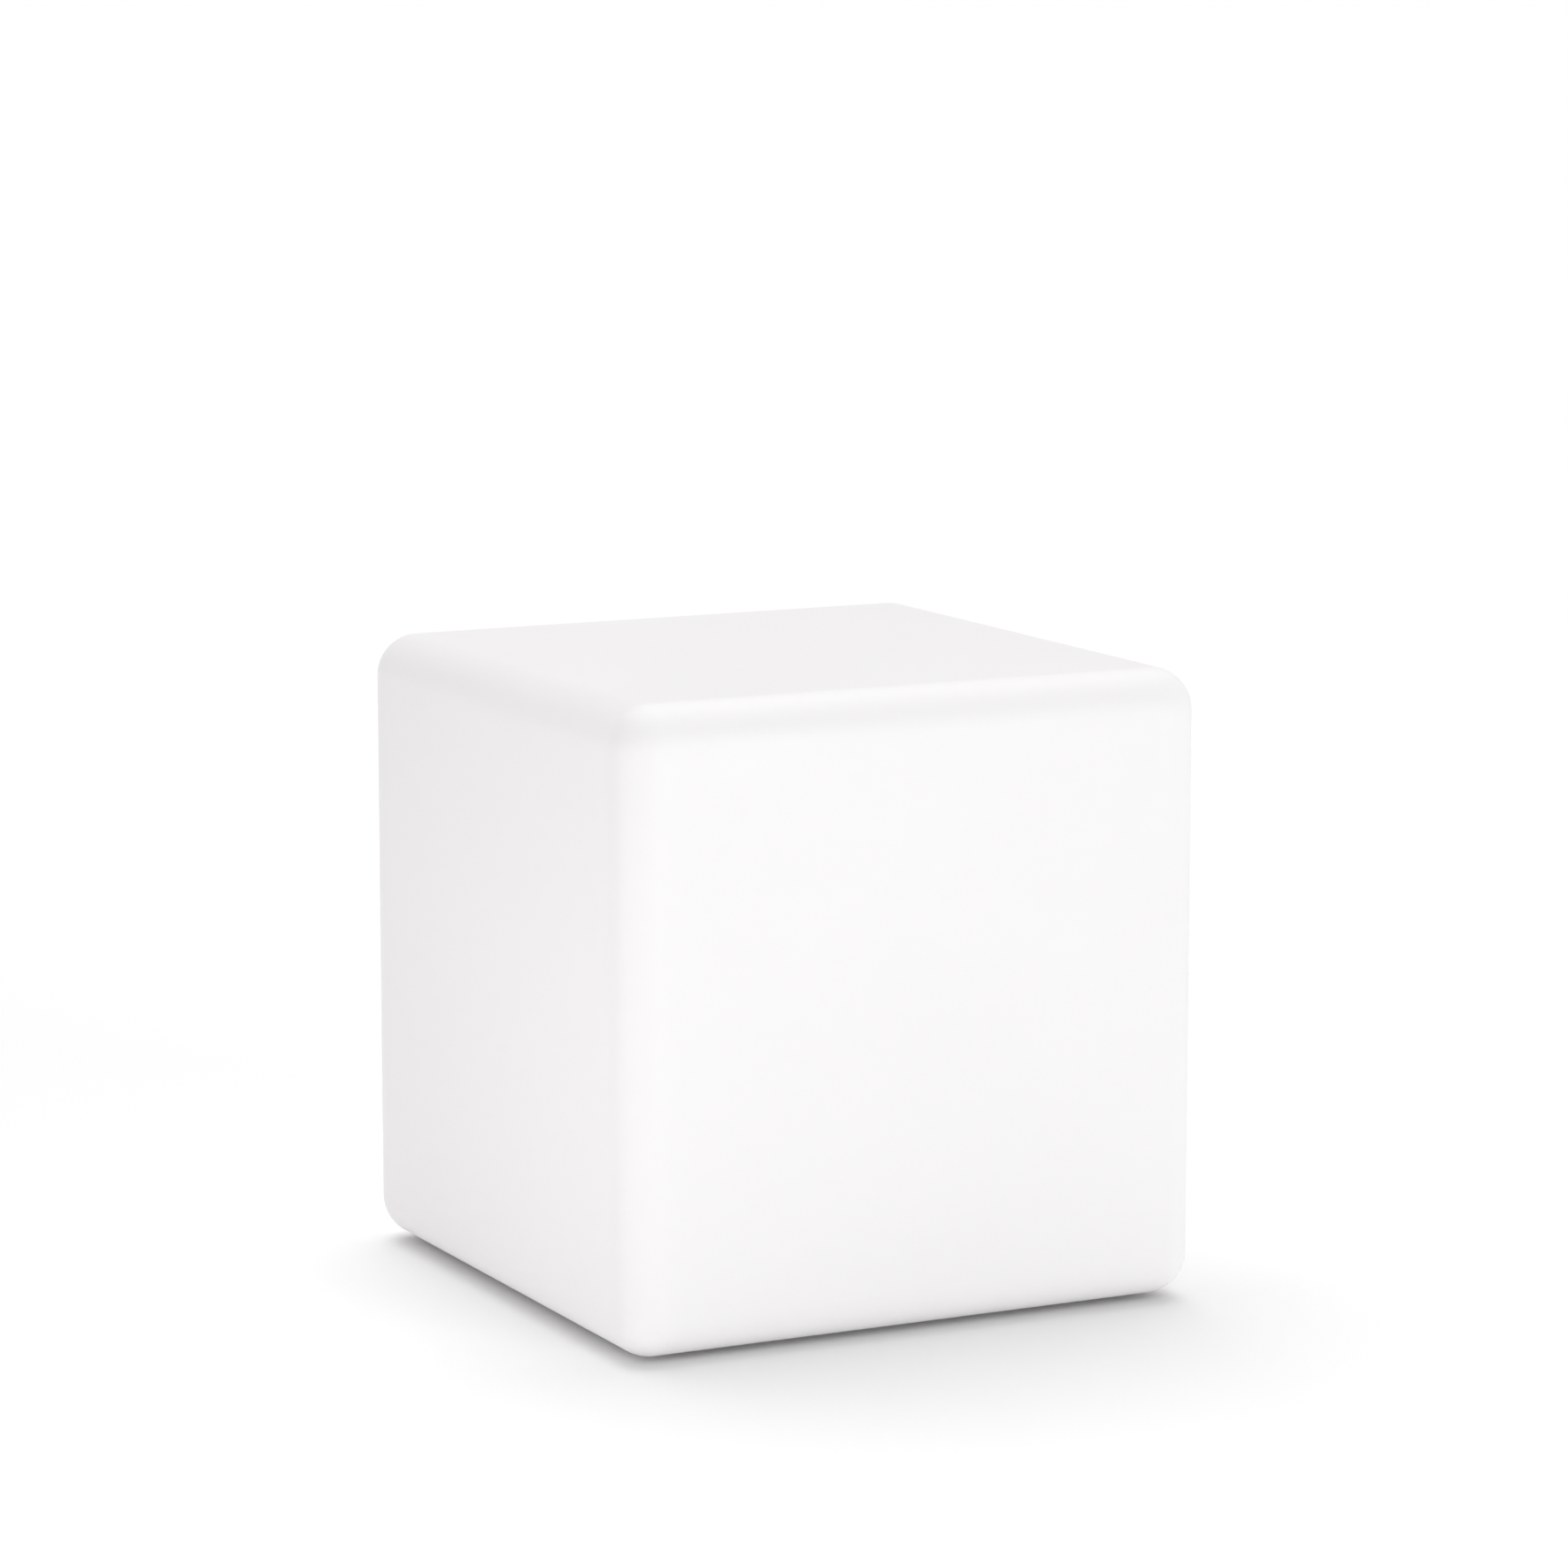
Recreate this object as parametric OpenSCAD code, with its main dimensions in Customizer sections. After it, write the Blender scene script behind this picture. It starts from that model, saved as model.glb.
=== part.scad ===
// Outdoor cube light: a white moulded cube that stands on a flat steel base with a lamp holder.
// Millimetres. Z is up, z = 0 is the ground, -Y is the front and the cable leaves at the back.

/* [Shade] */
// Side of the cube
cube_size = 400; // [370:5:600]
// Radius of its edges and corners
corner_r = 27; // [12:1:45]
// Thickness of its moulded wall
wall = 4; // [3:0.5:6]
// Gap between the cube and the ground
ground_gap = 3; // [1:0.5:6]
// Diameter of the opening in its underside that the lamp passes through
mouth_d = 168; // [162:1:176]
// Rounding where the recess meets the underside
recess_round = 4; // [1:1:8]
// Width of the cable channel in the underside
channel_w = 12; // [10:1:24]
// Height of the cable channel
channel_h = 10; // [9:0.5:12]
// Diameter of a moulded-in threaded insert
insert_d = 8; // [7:0.5:10]
// Length of an insert
insert_l = 12; // [11:1:20]
// Material around an insert
boss_wall = 5; // [3:0.5:7]

/* [Base pan] */
// Thickness of its sheet
sheet_t = 1.5; // [1:0.1:2]
// Depth of the turned-down lip
lip_h = 7; // [5:0.5:9]
// Bend radius of the sheet, on its centre line
bend_r = 2; // [1.5:0.25:2.25]
// Width of the flat ring between the lamp opening and the raised hat
ring_w = 31; // [30:0.5:33]
// How far the hat's side leans in
hat_lean = 5; // [4:0.5:7]
// Height of the hat above the pan
hat_h = 44; // [38:1:60]
// Rounding of the hat's roof edge
hat_round = 7; // [4:0.5:9]

/* [Gasket and feet] */
// Width of the gasket
gasket_w = 15; // [10:1:20]
// Thickness of the gasket
gasket_t = 3; // [2:0.25:4]
// Diameter of a foot at the pan
foot_d = 28; // [24:1:34]
// Height of a foot
foot_h = 16.5; // [15:0.5:24]
// How much narrower a foot is at the ground
foot_taper = 3; // [0:0.5:5]
// Thread diameter of a base screw
base_screw_d = 5; // [4:0.5:5.5]
// Diameter and height of its cap head
base_head_d = 8.5; // [7.5:0.5:9.5]
base_head_h = 5; // [4:0.5:6]
// Depth of its thread in the insert
base_screw_grip = 9; // [5:1:11]
// Diameter and thickness of the washer under the head
washer_d = 10; // [9.5:0.5:12]
washer_t = 1; // [0.8:0.1:1.5]

/* [Cable gland] */
// Diameter of the cable that it grips
cable_d = 7.6; // [6:0.2:9]
// Thread diameter through the roof
gland_d = 16; // [15:1:18]
// Thread diameter of the clamping nut
gland_low_d = 17; // [16:0.5:18]
// Width across the flats of body and clamping nut
gland_flat = 21; // [20:0.5:24]
// Height of the body's flange
gland_flange_h = 6; // [4:0.5:8]
// Length of the thread for the clamping nut
gland_low_l = 11; // [10:1:14]
// Length of the rubber grommet
grommet_l = 9; // [7:1:10]
// Width across the flats and height of the locknut
locknut_flat = 22; // [20:0.5:24]
locknut_h = 4.5; // [3:0.5:6]

/* [Bracket] */
// Width of the strip
bracket_w = 20; // [16:1:24]
// Thickness of the strip
bracket_t = 2; // [1.5:0.25:3]
// Height of its top above the roof
bracket_h = 30; // [26:1:45]
// Distance of a foot's stud from the edge of the hat's roof
stud_in = 17; // [16:0.5:18]
// Distance of a leg from its foot's stud
leg_in = 8; // [7.5:0.5:11]
// Length of a foot beyond its stud
foot_end = 6; // [5:0.5:8]
// Thread diameter and length of a weld stud above its nut
stud_d = 4; // [3:0.5:5]
stud_end = 1.5; // [1:0.5:4]
// Width across the flats and height of a stud's nut
nut_flat = 7; // [6:0.5:7.5]
nut_h = 3.2; // [2.4:0.2:4]
// Thread diameter and bore of the hollow nipple
nipple_d = 10; // [9:0.5:11]
nipple_bore = 8; // [6.5:0.5:8]
// Width across the flats and height of its locknut
nipple_nut_flat = 14; // [13:0.5:17]
nipple_nut_h = 3.5; // [2.5:0.5:5]

/* [Lamp holder] */
// Outside diameter of the skirt
holder_d = 40; // [39:0.5:44]
// Wall of dome and skirt
holder_wall = 1.7; // [1.2:0.1:2]
// Height of the dome
dome_h = 26; // [25:0.5:32]
// Diameter and height of the dome's collar
collar_d = 16.4; // [15:0.2:18]
collar_h = 5; // [4:0.5:6]
// Height of the skirt's rim above the core
rim_h = 28; // [26:0.5:32]
// Inside diameter of the threaded shell
socket_d = 26.9; // [26.7:0.1:27.3]
// Sheet of the threaded shell
socket_t = 0.4; // [0.3:0.1:0.6]
// Number of grip ribs on the skirt
grip_ribs = 24; // [12:1:32]

/* [Connector] */
// Distance between the poles
pole_pitch = 10.6; // [10:0.2:12]
// Length of a pole's tunnel
pole_l = 20; // [16:1:21]
// Height of the screw towers
tower_h = 16; // [14:0.5:20]
// Diameter of a lead over its insulation
lead_d = 2.2; // [1.6:0.1:2.4]

/* [Bulb] */
// Diameter of the globe
bulb_d = 60; // [55:1:70]
// Length over all
bulb_l = 110; // [105:1:130]
// Diameter of the threaded cap
cap_d = 26.2; // [25.8:0.1:26.4]
// Height of the cap's upper edge above the tip
cap_h = 27; // [25:0.5:29]
// Depth of the globe's lower edge below its widest part
globe_drop = 18; // [14:1:20]
// Wall of the globe
globe_t = 1.4; // [1:0.1:2]
// Light chips on the board
chip_count = 12; // [6:1:16]

/* [Hidden] */
$fn = 96;

// Clearances: all are on the radius or on one side
thread_gap = 0.1;
fit_gap = 0.2;
hole_gap = 0.4;
rest_gap = 0.3;
moulded_gap = 0.05;
through = 1; // how far a cut runs past a face

// Heights of the base, from the ground up
seat_z = foot_h + sheet_t;
roof_z = seat_z + hat_h;
roof_under_z = roof_z - sheet_t;

// Pan, from the lamp opening outwards: gasket groove, feet, lip and recess
gasket_edge = 3;
gasket_in_r = mouth_d / 2 + gasket_edge;
gasket_out_r = gasket_in_r + gasket_w;
groove_gap = 1;
groove_run = 1.2; // how far a groove's side leans
foot_gap = 0.8;
foot_circle_r = gasket_out_r + groove_gap + groove_run + bend_r / 2 + foot_gap + foot_d / 2;
lip_gap = 0.25;
pan_r = foot_circle_r + foot_d / 2 + lip_gap + bend_r + sheet_t / 2;
pan_gap = 3; // between the pan's lip and the recess
recess_r = pan_r + pan_gap;
shade_neck_r = gasket_out_r + 2;
underside_z = ground_gap + corner_r;
hat_r = mouth_d / 2 - ring_w;
hat_top_r = hat_r - hat_lean;
gland_hole_r = gland_d / 2 + fit_gap;
bend_steps = 4;

// Feet and base screws
foot_angles = [45, 135, 225, 315];
head_recess = 2;
counterbore_r = washer_d / 2 + rest_gap;
counterbore_h = head_recess + base_head_h + washer_t;
foot_round = 1.5;
key_flat = 4;
key_depth = 2.5;

// Cable gland, from the roof down
gland_washer_t = 1.5;
gland_stub_l = 8.5;
gland_flange_z = roof_under_z - gland_washer_t - gland_flange_h;
gland_low_z = gland_flange_z - gland_low_l;
gland_wall = 1.9;
gland_bore_r = cable_d / 2 + 1.2;
grommet_r = gland_low_d / 2 - gland_wall;
grommet_out = 1; // how far the grommet stands out of the body
grommet_z = gland_low_z - grommet_out;
gland_nut_dome = 5;
gland_nut_gap = 1.5;
gland_nut_z = grommet_z - gland_nut_dome;

// Bracket and nipple
bracket_z = roof_z + bracket_h;
bracket_bend = 3;
stud_x = hat_top_r - stud_in;
leg_x = stud_x - leg_in;
bracket_end_x = stud_x + foot_end;
nipple_end = 1.5;
nipple_low_z = bracket_z - bracket_t - nipple_nut_h - nipple_end;
nipple_top = 8; // above the bracket

// Lamp holder, from the top of the bracket up
dome_r = holder_d / 2 - holder_wall - thread_gap;
dome_arc = dome_r - collar_d / 2;
core_lap = 9; // how deep the core sits in the dome
core_z = bracket_z + dome_h - core_lap;
core_flange_h = 2;
core_top_z = bracket_z + dome_h + core_flange_h;
skirt_lap = 9; // how far the skirt reaches down over the dome
skirt_z = bracket_z + dome_h - skirt_lap;
rim_z = core_top_z + rim_h;
rim_t = 3;
socket_r = socket_d / 2;
socket_h = 24;
liner_r = socket_r + socket_t + fit_gap;
contact_w = 6;
contact_t = 0.5;
tip_rise = 2; // of the bulb's tip above the core
tip_z = core_top_z + tip_rise;
clamp_x = 9;
clamp_w = 6;
clamp_l = 10;
clamp_h = 5;
clamp_lead_y = -2.5;
clamp_screw_y = 2.8;
small_screw_d = 2.5;
small_head_d = 4;
small_head_h = 1.5;
rib_r = 0.7;

// Connector and earth stud, on the flat ring between the hat and the lamp opening
ring_r = mouth_d / 2 - ring_w / 2;
pole_count = 3;
pole_z = seat_z + 6;
sleeve_r = 3.2;
sleeve_bore_r = lead_d / 2 + 0.8;
sleeve_l = pole_l - 2;
tower_r = 4.2;
tower_y = pole_l / 2 - tower_r - 0.3;
pole_screw_d = 3;
pole_head_d = 4.8;
pole_head_h = 2;
ear_w = 10;
ear_t = 5;
ear_x = pole_pitch * pole_count / 2 + ear_w / 2;
earth_angle = 225;
earth_x = ring_r * cos(earth_angle);
earth_y = ring_r * sin(earth_angle);
tag_t = 0.8;
tag_turn = -8;
tag_axis = [cos(tag_turn), sin(tag_turn), 0];
tag_ring_r = stud_d / 2 + 2.2;
barrel_r = lead_d / 2 + 0.8;
barrel_l = 7;
barrel_x = 4.5;

// Bulb, from its tip up
globe_r = bulb_d / 2;
globe_z = bulb_l - globe_r;
globe_edge = globe_z - globe_drop;
globe_edge_r = sqrt(pow(globe_r, 2) - pow(globe_drop, 2));
globe_in_r = sqrt(pow(globe_r - globe_t, 2) - pow(globe_drop, 2));
contact_r = 4.6;
contact_h = 2;
insulator_h = 4;
insulator_r = 12.2;
cap_t = 0.4;
cap_r = cap_d / 2;
cap_z = contact_h + insulator_h;
neck_r = cap_r + 0.5;
spigot_l = 6;
spigot_r = cap_r - cap_t - fit_gap;
spigot_in_r = spigot_r - 1.6;
housing_t = 1.8;
board_t = 1.6;
board_sink = 2; // how far the board's seat lies below the rim
chip_w = 3;
chip_h = 0.8;
chip_circle_r = globe_in_r * 0.63;

// Way of a lead up the hat's side and over its roof: distance outside the hat's foot and height
// above the pan. The x of each lead there, and its route above the bracket, follow
climb = [
    [3, 8], [1.5, 14], [2.5 - hat_lean * 0.6, hat_h * 0.6], [2.3 - hat_lean * 0.86, hat_h * 0.86],
    [-hat_lean - 1.5, hat_h + 5], [-hat_lean - 13.5, hat_h + 12]
];
climb_live_x = [0, 0, 0, 0, 0, -1];
climb_neutral_x = [pole_pitch - 0.4, pole_pitch - 1.6, 7, 6, 5, 3];
route_live_top = [
    [-1.6, -18, -13], [-1.6, -4, -11], [-1.6, 0, -8], [-1.6, 0, 0], [-1.6, 0, 8.5], [-4, -1, 12],
    [-8, -2.3, 15], [-9, -2.5, 17.5], [-9, -2.5, 20]
];
route_neutral_top = [
    [1.6, -18, -13], [1.6, -4, -11], [1.6, 0, -8], [1.6, 0, 0], [1.6, 0, 8.5], [4, -1, 12],
    [8, -2.3, 15], [9, -2.5, 17.5], [9, -2.5, 20]
];
route_steps = 3;
lead_sides = 8;

// Points of a circular arc around [x, y], both angles in degrees
function arc(x, y, r, from, to, steps) =
    [for (i = [0:steps]) let (a = from + (to - from) * i / steps) [x + r * cos(a), y + r * sin(a)]];

function unit(v) = v / norm(v);
function turned(v, a) = [v.x * cos(a) - v.y * sin(a), v.x * sin(a) + v.y * cos(a)];
function reversed(p) = [for (i = [len(p) - 1:-1:0]) p[i]];
function flat(v) = [v.x, v.y];

// The bend that replaces corner p of a path, between its neighbours a and b
function bend(a, p, b, r) =
    let (u = unit(a - p), v = unit(b - p), half = acos(u * v) / 2)
    let (centre = p + unit(u + v) * r / sin(half), start = p + u * r / tan(half) - centre)
    let (way = sign(u.y * v.x - u.x * v.y), sweep = 180 - 2 * half)
    [for (i = [0:bend_steps]) centre + turned(start, way * sweep * i / bend_steps)];

// A path [x, y, bend radius] with its corners bent; a radius of 0 leaves a corner as it is
function bent(p) = [
    for (i = [0:len(p) - 1])
        for (q = p[i][2] > 0 ? bend(flat(p[i - 1]), flat(p[i]), flat(p[i + 1]), p[i][2]) : [flat(p[i])])
            q
];

// The same path moved sideways by d
function beside(p, d) = [
    for (i = [0:len(p) - 1])
        let (t0 = unit(i == 0 ? p[1] - p[0] : p[i] - p[i - 1]))
        let (t1 = unit(i == len(p) - 1 ? p[i] - p[i - 1] : p[i + 1] - p[i]))
        let (m = unit(t0 + t1), n = [-m.y, m.x])
        p[i] + n * d / (n * [-t0.y, t0.x])
];

// Cubic from a to b with end slopes sa and sb over a length l, t from 0 to 1
function blend(a, b, sa, sb, l, t) =
    a * (2 * pow(t, 3) - 3 * pow(t, 2) + 1) + sa * l * (pow(t, 3) - 2 * pow(t, 2) + t)
    + b * (3 * pow(t, 2) - 2 * pow(t, 3)) + sb * l * (pow(t, 3) - pow(t, 2));

// Smooth curve through route points (Catmull-Rom), with route_steps pieces between two points
function through_points(a, b, c, d, t) =
    b + (c - a) * t / 2 + (2 * a - 5 * b + 4 * c - d) * pow(t, 2) / 2
    + (3 * b - 3 * c + d - a) * pow(t, 3) / 2;
function smooth_route(p) = concat(
    [
        for (i = [0:len(p) - 2])
            for (k = [0:route_steps - 1])
                let (before = p[max(i - 1, 0)], after = p[min(i + 2, len(p) - 1)])
                through_points(before, p[i], p[i + 1], after, k / route_steps)
    ],
    [p[len(p) - 1]]
);
function shifted(p, by) = [for (q = p) q + by];

// Start of a route inside the connector, and its way up the hat
function from_pole(x) = [[x, -ring_r - 6, pole_z], [x, pole_l / 2 + 0.5 - ring_r, pole_z]];
function up_the_hat(xs) =
    [for (i = [0:len(climb) - 1]) [xs[i], -hat_r - climb[i][0], seat_z + climb[i][1]]];

// Half outline of a bent sheet: the centre line given a thickness
module sheet(centre_line, t) {
    p = bent(centre_line);
    polygon(concat(beside(p, t / 2), reversed(beside(p, -t / 2))));
}

module quarter_disc(r) {
    intersection() {
        circle(r);
        square(r);
    }
}

// Rectangle with round corners, centred
module rounded_rect(w, h, r) {
    square([w, h - 2 * r], center = true);
    square([w - 2 * r, h], center = true);
    for (x = [0, 1], y = [0, 1])
        mirror([x, 0]) mirror([0, y]) translate([w / 2 - r, h / 2 - r]) quarter_disc(r);
}

// Box with round edges and ball corners, standing on z = 0: two crossing rounded bars that meet
// four turned corner columns on flat faces
module rounded_box(w, h, r) {
    for (a = [0, 90])
        rotate([0, 0, a]) translate([0, 0, h / 2]) rotate([90, 0, 0])
            linear_extrude(w - 2 * r, center = true) rounded_rect(w, h, r);
    for (a = [0:90:270])
        rotate([0, 0, a]) translate([w / 2 - r, w / 2 - r, h / 2])
            rotate_extrude(angle = 90) {
                translate([0, r - h / 2]) square([r, h - 2 * r]);
                for (y = [0, 1]) mirror([0, y]) translate([0, h / 2 - r]) quarter_disc(r);
            }
}

// Lead swept along a route, closed at both ends
module lead(route) {
    p = smooth_route(route);
    last = len(p) - 1;
    rings = [
        for (i = [0:last])
            let (t = unit(p[min(i + 1, last)] - p[max(i - 1, 0)]))
            let (u = unit(cross(t, [1, 0.02, 0])), v = cross(t, u))
            for (k = [0:lead_sides - 1])
                let (a = 360 * k / lead_sides)
                p[i] + (u * cos(a) + v * sin(a)) * lead_d / 2
    ];
    sides = [
        for (i = [0:last - 1])
            for (k = [0:lead_sides - 1])
                let (a = i * lead_sides + k, b = i * lead_sides + (k + 1) % lead_sides)
                each [[a, b, b + lead_sides], [a, b + lead_sides, a + lead_sides]]
    ];
    tail = last * lead_sides;
    start_face = [for (k = [1:lead_sides - 2]) [0, k + 1, k]];
    end_face = [for (k = [1:lead_sides - 2]) [tail, tail + k, tail + k + 1]];
    polyhedron(rings, concat(sides, start_face, end_face));
}

module tube(r, bore_r, h) {
    difference() {
        cylinder(r = r, h = h);
        translate([0, 0, -through]) cylinder(r = bore_r, h = h + 2 * through);
    }
}

module hex_prism(across_flats, h) {
    cylinder(r = across_flats / 2 / cos(30), h = h, $fn = 6);
}

module hex_nut(across_flats, h, thread_d) {
    difference() {
        hex_prism(across_flats, h);
        translate([0, 0, -through]) cylinder(r = thread_d / 2 + thread_gap, h = h + 2 * through);
    }
}

module at_foot(i) {
    rotate([0, 0, foot_angles[i]]) translate([foot_circle_r, 0, 0]) children();
}

module at_feet() {
    for (i = [0:3]) at_foot(i) children();
}

module at_block() {
    translate([0, -ring_r, 0]) children();
}

module at_poles() {
    for (i = [0:pole_count - 1])
        at_block() translate([(i - (pole_count - 1) / 2) * pole_pitch, 0, 0]) children();
}

module at_ears() {
    for (side = [-1, 1]) at_block() translate([side * ear_x, 0, 0]) children();
}

// Block of the cable channel, from the recess to the back face, grown by a skin
module channel(skin) {
    translate([-channel_w / 2 - skin, recess_r - through, ground_gap - through])
        cube([channel_w + 2 * skin, cube_size / 2 - recess_r + 2 * through, channel_h + through + skin]);
}

// Room for the base: a round recess with a rounded mouth
module recess() {
    translate([0, 0, ground_gap]) rotate_extrude() polygon(concat(
        [[0, -through], [recess_r + recess_round, -through]],
        arc(recess_r + recess_round, recess_round, recess_round, 270, 180, 6),
        [[recess_r, seat_z - ground_gap], [0, seat_z - ground_gap]]
    ));
}

module cube_body() {
    translate([0, 0, ground_gap]) rounded_box(cube_size, cube_size, corner_r);
}

module cube_skin() {
    difference() {
        cube_body();
        translate([0, 0, ground_gap + wall])
            rounded_box(cube_size - 2 * wall, cube_size - 2 * wall, corner_r - wall);
    }
}

// Blocks around the four upper ball corners
module corner_blocks() {
    for (a = [0:90:270])
        rotate([0, 0, a])
            translate([cube_size / 2 - corner_r, cube_size / 2 - corner_r, cube_size - corner_r + ground_gap])
                cube(corner_r + through);
}

// The shade is one moulding. Its five regions meet on flat faces: the cube from the top of its
// lower rounding up, its upper ball corners, the underside, the neck around the lamp opening, and
// the cable channel's skin
module shell() {
    color("white") difference() {
        cube_skin();
        translate([-cube_size / 2 - through, -cube_size / 2 - through, 0])
            cube([cube_size + 2 * through, cube_size + 2 * through, underside_z]);
        corner_blocks();
    }
}

module shell_corners() {
    color("white") intersection() {
        cube_skin();
        corner_blocks();
    }
}

module shell_underside() {
    color("white") difference() {
        union() {
            intersection() {
                cube_skin();
                translate([-cube_size / 2 - through, -cube_size / 2 - through, 0])
                    cube([cube_size + 2 * through, cube_size + 2 * through, underside_z]);
            }
            translate([0, 0, ground_gap]) cylinder(r = recess_r + wall, h = seat_z + wall - ground_gap);
            at_feet() translate([0, 0, seat_z])
                cylinder(r = insert_d / 2 + boss_wall, h = insert_l + boss_wall);
        }
        recess();
        cylinder(r = shade_neck_r, h = seat_z + wall + through);
        channel(wall);
        at_feet() cylinder(r = insert_d / 2 + moulded_gap, h = seat_z + insert_l);
    }
}

module shell_neck() {
    color("white") translate([0, 0, seat_z]) tube(shade_neck_r, mouth_d / 2, wall);
}

module shell_channel() {
    color("white") difference() {
        intersection() {
            cube_body();
            channel(wall);
        }
        recess();
        channel(0);
    }
}

module insert(i) {
    color("goldenrod") at_foot(i) translate([0, 0, seat_z])
        tube(insert_d / 2, base_screw_d / 2 + thread_gap, insert_l);
}

module base_pan() {
    level = seat_z - sheet_t / 2;
    color("gainsboro") difference() {
        rotate_extrude() sheet([
            [pan_r - sheet_t / 2, seat_z - lip_h, 0],
            [pan_r - sheet_t / 2, level, bend_r],
            [gasket_out_r + groove_gap + groove_run, level, bend_r / 2],
            [gasket_out_r + groove_gap, level - gasket_t, bend_r / 2],
            [gasket_in_r - groove_gap, level - gasket_t, bend_r / 2],
            [gasket_in_r - groove_gap - groove_run, level, bend_r / 2],
            [hat_r, level, bend_r],
            [hat_top_r, roof_z - sheet_t / 2, hat_round],
            [gland_hole_r, roof_z - sheet_t / 2, 0]
        ], sheet_t);
        at_feet() cylinder(r = base_screw_d / 2 + hole_gap, h = seat_z + through);
    }
}

module weld_stud(z, grip) {
    translate([0, 0, z]) cylinder(r = stud_d / 2, h = grip + nut_h + stud_end);
}

module weld_studs() {
    color("silver") {
        for (side = [-1, 1]) translate([side * stud_x, 0, 0]) weld_stud(roof_z, bracket_t);
        at_ears() weld_stud(seat_z, ear_t);
        translate([earth_x, earth_y, 0]) weld_stud(seat_z, tag_t);
    }
}

module base_gasket() {
    color("dimgray") translate([0, 0, seat_z - gasket_t]) tube(gasket_out_r, gasket_in_r, gasket_t);
}

module foot(i) {
    low_r = foot_d / 2 - foot_taper / 2;
    color("dimgray") at_foot(i) rotate_extrude() polygon(concat(
        [[counterbore_r, 0]],
        arc(low_r - foot_round, foot_round, foot_round, 270, 360, 6),
        [
            [foot_d / 2, foot_h], [base_screw_d / 2 + hole_gap, foot_h],
            [base_screw_d / 2 + hole_gap, counterbore_h], [counterbore_r, counterbore_h]
        ]
    ));
}

module foot_washers() {
    color("silver") at_feet() translate([0, 0, counterbore_h - washer_t])
        tube(washer_d / 2, base_screw_d / 2 + hole_gap, washer_t);
}

module base_screws() {
    color("silver") at_feet() difference() {
        union() {
            translate([0, 0, head_recess]) cylinder(r = base_head_d / 2, h = base_head_h);
            translate([0, 0, head_recess])
                cylinder(r = base_screw_d / 2, h = seat_z + base_screw_grip - head_recess);
        }
        translate([0, 0, head_recess - through]) hex_prism(key_flat, key_depth + through);
    }
}

module gland_body() {
    color("whitesmoke") difference() {
        union() {
            translate([0, 0, gland_low_z]) cylinder(r = gland_low_d / 2, h = gland_low_l + through);
            translate([0, 0, gland_flange_z]) hex_prism(gland_flat, gland_flange_h);
            translate([0, 0, gland_flange_z])
                cylinder(r = gland_d / 2, h = roof_z + gland_stub_l - gland_flange_z);
        }
        translate([0, 0, gland_low_z - through])
            cylinder(r = gland_bore_r, h = roof_z + gland_stub_l - gland_low_z + 2 * through);
        translate([0, 0, gland_low_z - through])
            cylinder(r = grommet_r + moulded_gap, h = grommet_l - grommet_out + through);
    }
}

module gland_nut() {
    top_z = gland_flange_z - gland_nut_gap;
    color("whitesmoke") difference() {
        union() {
            translate([0, 0, grommet_z]) hex_prism(gland_flat, top_z - grommet_z);
            translate([0, 0, gland_nut_z]) rotate_extrude() polygon(concat(
                [[0, 0]],
                arc(gland_flat / 2 - gland_nut_dome, gland_nut_dome, gland_nut_dome, 270, 360, 6),
                [[gland_flat / 2, gland_nut_dome + through], [0, gland_nut_dome + through]]
            ));
        }
        translate([0, 0, grommet_z])
            cylinder(r = gland_low_d / 2 + thread_gap, h = top_z - grommet_z + through);
        translate([0, 0, gland_nut_z - through])
            cylinder(r = gland_bore_r, h = gland_nut_dome + 2 * through);
    }
}

module gland_grommet() {
    color("dimgray") translate([0, 0, grommet_z]) tube(grommet_r, cable_d / 2, grommet_l);
}

module gland_washer() {
    color("dimgray") translate([0, 0, roof_under_z - gland_washer_t])
        tube(gland_flat / 2, gland_d / 2 + fit_gap, gland_washer_t);
}

module gland_locknut() {
    color("whitesmoke") translate([0, 0, roof_z]) hex_nut(locknut_flat, locknut_h, gland_d);
}

module holder_bracket() {
    low = roof_z + bracket_t / 2;
    high = bracket_z - bracket_t / 2;
    color("silver") difference() {
        intersection() {
            rotate([90, 0, 0]) linear_extrude(bracket_w, center = true) sheet([
                [-bracket_end_x, low, 0], [-leg_x, low, bracket_bend], [-leg_x, high, bracket_bend],
                [leg_x, high, bracket_bend], [leg_x, low, bracket_bend], [bracket_end_x, low, 0]
            ], bracket_t);
            translate([0, 0, roof_z - through]) linear_extrude(bracket_h + 2 * through) {
                square([2 * bracket_end_x - bracket_w, bracket_w], center = true);
                for (side = [-1, 1]) translate([side * (bracket_end_x - bracket_w / 2), 0])
                    circle(bracket_w / 2);
            }
        }
        translate([0, 0, high - bracket_t]) cylinder(r = nipple_d / 2 + fit_gap, h = 2 * bracket_t);
        for (side = [-1, 1]) translate([side * stud_x, 0, low - bracket_t])
            cylinder(r = stud_d / 2 + fit_gap, h = 2 * bracket_t);
    }
}

module bracket_nuts() {
    color("silver") for (side = [-1, 1]) translate([side * stud_x, 0, roof_z + bracket_t])
        hex_nut(nut_flat, nut_h, stud_d);
}

module nipple() {
    color("silver") translate([0, 0, nipple_low_z])
        tube(nipple_d / 2, nipple_bore / 2, bracket_z + nipple_top - nipple_low_z);
}

module nipple_locknut() {
    color("silver") translate([0, 0, bracket_z - bracket_t - nipple_nut_h])
        hex_nut(nipple_nut_flat, nipple_nut_h, nipple_d);
}

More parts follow.
